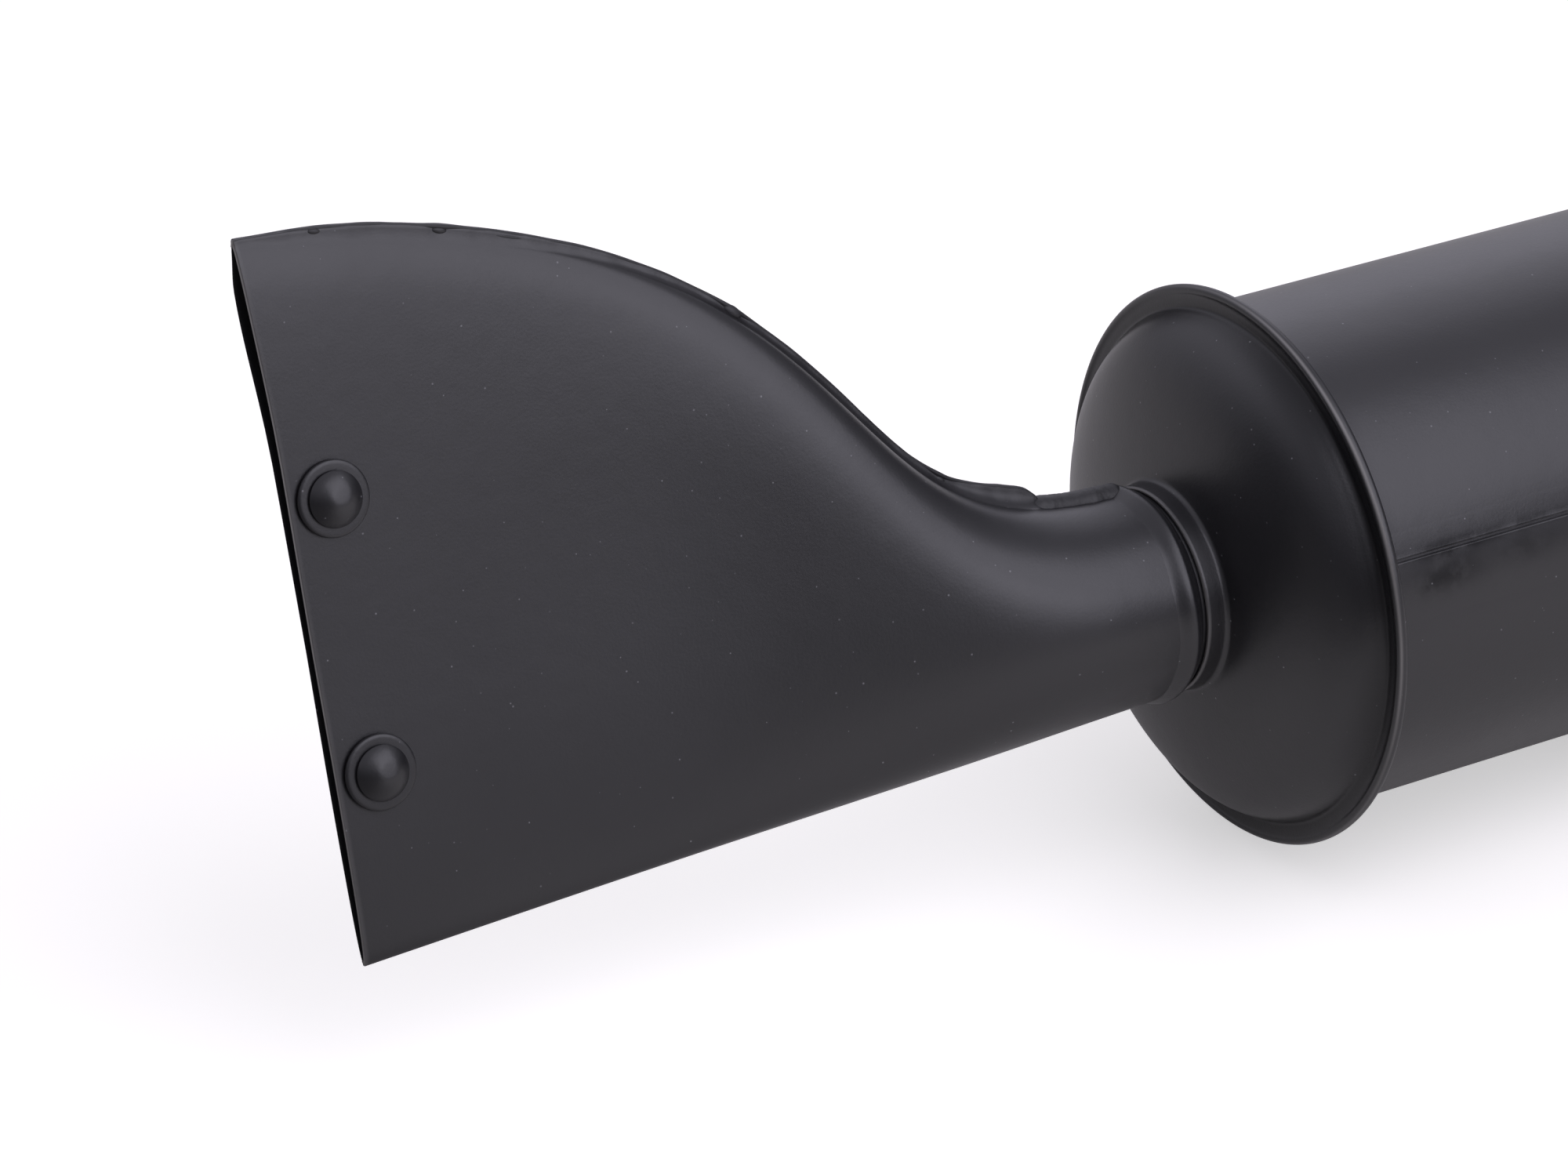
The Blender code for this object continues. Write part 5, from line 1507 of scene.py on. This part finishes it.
class SILENCER_OT_channel(bpy.types.Operator):
    """Mounting channel under the can, with its welds and nuts"""
    bl_idname = "silencer.channel"
    bl_label = "Mounting Channel"

    def execute(self, context):
        size, can, paint = settings().channel, settings().can, paint_finish()
        low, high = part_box("mounting_channel")
        half, wall = (high.y - low.y) / 2, size.sheet
        reach = can.radius + TOUCH
        outer = size.bend + wall
        edge = [(y, AXIS_HEIGHT - math.sqrt(reach ** 2 - y * y)) for y in np.linspace(half, half - wall, 5)]
        centre = (half - outer, outer)
        right = np.vstack((arc(centre, outer, -90, 0, 9), edge, arc(centre, size.bend, 0, -90, 9)))
        outline = np.vstack((right, (right * (-1, 1))[::-1]))
        body = self.folded("channel_fold", outline, low.x, high.x)
        spots = [middle_of(name + "_channel_nut") for name in ("rear", "front")]
        holes = [((spot.x, 0, wall / 2), (0, 0, 1)) for spot in spots]
        mesh = pierced(body, holes, size.bolt_radius + FIT, 4 * wall, paint)
        add_piece("channel_fold", mesh, paint, nodes=["mounting_channel"])
        for name, spot in zip(("rear", "front"), spots):
            low_nut, high_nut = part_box(name + "_channel_nut")
            nut = hex_shape(name + "_weld_nut", high_nut.x - low_nut.x, high_nut.z - wall, size.bolt_radius)
            nut.transform(Matrix.Translation((spot.x, 0, wall)))
            add_piece(name + "_weld_nut", nut, zinc_finish(), nodes=[name + "_channel_nut"])
        self.add_welds(size, half, high.z)
        return {"FINISHED"}

    def folded(self, name, outline, start, end):
        """An outline carried along X, with slightly broken edges at its ends."""
        edge = 0.0003
        along = np.roll(outline, -1, axis=0) - np.roll(outline, 1, axis=0)
        along /= np.linalg.norm(along, axis=1)[:, None]
        inset = outline - edge * np.column_stack((along[:, 1], -along[:, 0]))
        rows = []
        for x, line in ((start, inset), (start + edge, outline), (end - edge, outline), (end, inset)):
            rows.append(np.column_stack((np.full(len(line), x), line)))
        return fill_ends(grid_mesh(name, rows, False, True))

    def add_welds(self, size, half, top):
        """Three short beads on each side between the channel and the can."""
        paint, reach = weld_finish(), size.weld_length / 2
        width, height, pitch = 0.0042, 0.0019, 0.044
        beads = []
        for side in (-1, 1):
            out = Vector((0, 0.9 * side, -0.35)).normalized()
            for i, middle in enumerate((-pitch, 0.0, pitch)):
                run = np.linspace(-reach, reach, 60)
                taper = np.sqrt(np.clip(1 - (np.abs(run) / reach) ** 6, 0.05, 1))
                radii = taper * (1 + 0.1 * np.sin(run * 900 + 3 * i))
                points = [(middle + x, side * (half + TOUCH), top + 0.0003) for x in run]
                path = path_curve("channel_weld", points, radii)
                beads.append(weld_bead(path, width, height, out.cross(Vector((1, 0, 0))), paint, step=0.0005,
                                       ripple=0.0019, ripple_depth=0.10, swell=0.2, lumps=0.0003,
                                       lump_size=0.0018, seed=3.0 + i + 5 * side))
        add_piece("channel_welds", joined("channel_welds", *beads), paint)


# Solids that keep their shape


def dress_solids():
    """Give every solid that still shows the finish of its slot."""
    finishes = {"satin_black": paint_finish, "bare_steel": steel_finish, "zinc_plate": zinc_finish}
    for row in frame["record"]["subparts"]:
        obj = frame["nodes"][row["node"]]
        if not obj.hide_render:
            obj.data.materials.clear()
            obj.data.materials.append(finishes[row["material_slot"]]())


# Stage


class SILENCER_OT_stage(bpy.types.Operator):
    """Floor, soft light and the camera at the photograph's place"""
    bl_idname = "silencer.stage"
    bl_label = "Stage"

    def execute(self, context):
        look = settings().stage
        context.scene.view_settings.view_transform = "Standard"
        self.add_floor(look)
        self.light_world(context)
        self.add_lamps(look)
        self.add_camera(context, look)
        return {"FINISHED"}

    def add_floor(self, look):
        """White floor that gives its own glow to the camera, and shows painted shade beside the tail in the
        paint's reflections.
        """
        mesh = bpy.data.meshes.new("floor")
        reach, level = 8.0, -0.0002
        corners = [(x * reach, y * reach, level) for x, y in ((-1, -1), (1, -1), (1, 1), (-1, 1))]
        mesh.from_pydata(corners, [], [(0, 1, 2, 3)])
        floor = linked("floor", mesh)
        material = bpy.data.materials.new("white_floor")
        material.use_nodes = True
        tree = material.node_tree
        tree.nodes.remove(tree.nodes["Principled BSDF"])
        seen = add_node(tree, "ShaderNodeLightPath").outputs
        place = add_node(tree, "ShaderNodeNewGeometry").outputs["Position"]
        spot = add_node(tree, "ShaderNodeSeparateXYZ", {0: place}).outputs
        # Painted shade: the paint reflects a floor darkened beside and behind the tail, where the tail's
        # shadow falls
        behind = add_node(tree, "ShaderNodeMapRange", {
            0: spot[0], 1: TAIL_LOW.x + 0.10, 2: TAIL_LOW.x - 0.06, 3: 0.0, 4: 0.75}).outputs[0]
        beside = add_node(tree, "ShaderNodeMapRange", {
            0: spot[1], 1: 0.20, 2: 0.04, 3: 0.0, 4: 1.0}).outputs[0]
        reflected_painted_shade = calc(tree, "MULTIPLY", calc(tree, "MULTIPLY", behind, beside), seen["Is Glossy Ray"])
        matt = add_node(tree, "ShaderNodeBsdfDiffuse", {
            "Color": blend_colour(tree, reflected_painted_shade, (*look.floor, 1), (0, 0, 0, 1))})
        straight = calc(tree, "ADD", seen["Is Camera Ray"], seen["Is Transmission Ray"])
        shine = calc(tree, "MULTIPLY", calc(tree, "MINIMUM", straight, 1.0), look.floor_glow)
        glow = add_node(tree, "ShaderNodeEmission", {"Strength": shine})
        both = add_node(tree, "ShaderNodeAddShader", {0: matt.outputs[0], 1: glow.outputs[0]})
        tree.links.new(both.outputs[0], tree.nodes["Material Output"].inputs["Surface"])
        mesh.materials.append(material)

    # Bright cards round the stage: (turn from +X, height, degrees from its middle to where it starts to fade,
    # degrees to where it ends, strength)
    CARDS = ((0, 90, 45, 85, 0.52), (120, 26, 14, 44, 0.50), (56, 9, 6, 24, 0.80), (54, 38, 8, 24, 0.70),
             (300, 0, 10, 34, 0.15))
    # Strength and tint of the light from everywhere else
    ROOM = 0.09
    ROOM_TINT = (0.92, 0.90, 1.03, 1)

    def light_world(self, context):
        """Light from all round: a dim room and bright cards, plain white to the camera."""
        world = bpy.data.worlds.new("studio")
        context.scene.world = world
        world.use_nodes = True
        tree = world.node_tree
        ahead = tree.nodes.new("ShaderNodeTexCoord").outputs["Generated"]
        room = self.ROOM
        for turn, height, inner, outer, strength in self.CARDS:
            turn, height = math.radians(turn), math.radians(height)
            middle = (math.cos(height) * math.cos(turn), math.cos(height) * math.sin(turn), math.sin(height))
            facing = add_node(tree, "ShaderNodeVectorMath", {0: ahead, 1: middle},
                              operation="DOT_PRODUCT").outputs["Value"]
            outer, inner = math.cos(math.radians(outer)), math.cos(math.radians(inner))
            card = add_node(tree, "ShaderNodeMapRange", {0: facing, 1: outer, 2: inner, 3: 0.0, 4: strength},
                            interpolation_type="SMOOTHSTEP").outputs[0]
            room = calc(tree, "ADD", room, card)
        camera = tree.nodes.new("ShaderNodeLightPath").outputs["Is Camera Ray"]
        strength = add_node(tree, "ShaderNodeMix", {0: camera, 2: room, 3: 1.0}, data_type="FLOAT").outputs[0]
        tint = blend_colour(tree, camera, self.ROOM_TINT, (1, 1, 1, 1))
        background = tree.nodes["Background"]
        tree.links.new(tint, background.inputs["Color"])
        tree.links.new(strength, background.inputs["Strength"])

    # Soft lights in front, to the right: (name, place, point it faces, width, height)
    LAMPS = (("softbox", (0.03, -0.56, 0.72), (-0.20, 0.0, 0.08), 1.05, 0.80),
             ("front_panel", (0.035, -0.80, 0.375), (-0.10, 0.0, 0.10), 0.49, 0.31))
    LAMP_TINT = (0.90, 0.88, 1.0)

    def add_lamps(self, look):
        """The soft lights."""
        for name, spot, aim, width, height in self.LAMPS:
            lamp = bpy.data.lights.new(name, "AREA")
            lamp.shape = "RECTANGLE"
            lamp.size = width
            lamp.size_y = height
            lamp.energy = look.lamp_power * width * height
            lamp.color = self.LAMP_TINT
            obj = linked(name, lamp)
            obj.location = spot
            obj.rotation_euler = (Vector(aim) - Vector(spot)).to_track_quat("-Z", "Y").to_euler()

    def add_camera(self, context, look):
        """Camera at the photograph's place."""
        camera = bpy.data.cameras.new("camera")
        camera.lens = look.lens
        camera.sensor_width = 36.0
        camera.clip_start = 0.01
        obj = linked("camera", camera)
        obj.location = look.camera
        obj.rotation_euler = Vector(look.ahead).to_track_quat("-Z", "Y").to_euler()
        context.scene.camera = obj


# Add-on


OPERATORS = (SILENCER_OT_tail, SILENCER_OT_welds, SILENCER_OT_rivets, SILENCER_OT_caps, SILENCER_OT_can,
             SILENCER_OT_tubes, SILENCER_OT_plates, SILENCER_OT_clamp, SILENCER_OT_channel, SILENCER_OT_stage)


class SILENCER_PT_panel(bpy.types.Panel):
    """Lists the silencer's pieces"""
    bl_idname = "SILENCER_PT_panel"
    bl_label = "Fishtail Silencer"
    bl_space_type = "VIEW_3D"
    bl_region_type = "UI"
    bl_category = "Silencer"

    def draw(self, context):
        for operator in OPERATORS:
            self.layout.operator(operator.bl_idname)


CLASSES = (CanSizes, TailSizes, SeamSizes, RivetSizes, TubeSizes, ClampSizes, ChannelSizes, FinishLook,
           StageLook, SilencerSettings, *OPERATORS, SILENCER_PT_panel)


def register():
    for cls in CLASSES:
        bpy.utils.register_class(cls)
    bpy.types.Scene.silencer = PointerProperty(type=SilencerSettings)


def unregister():
    del bpy.types.Scene.silencer
    for cls in reversed(CLASSES):
        bpy.utils.unregister_class(cls)


def main():
    register()
    bpy.ops.silencer.tail()
    bpy.ops.silencer.welds()
    bpy.ops.silencer.rivets()
    bpy.ops.silencer.caps()
    bpy.ops.silencer.can()
    bpy.ops.silencer.tubes()
    bpy.ops.silencer.plates()
    bpy.ops.silencer.clamp()
    bpy.ops.silencer.channel()
    bpy.ops.silencer.stage()
    dress_solids()


if __name__ == "__main__":
    main()
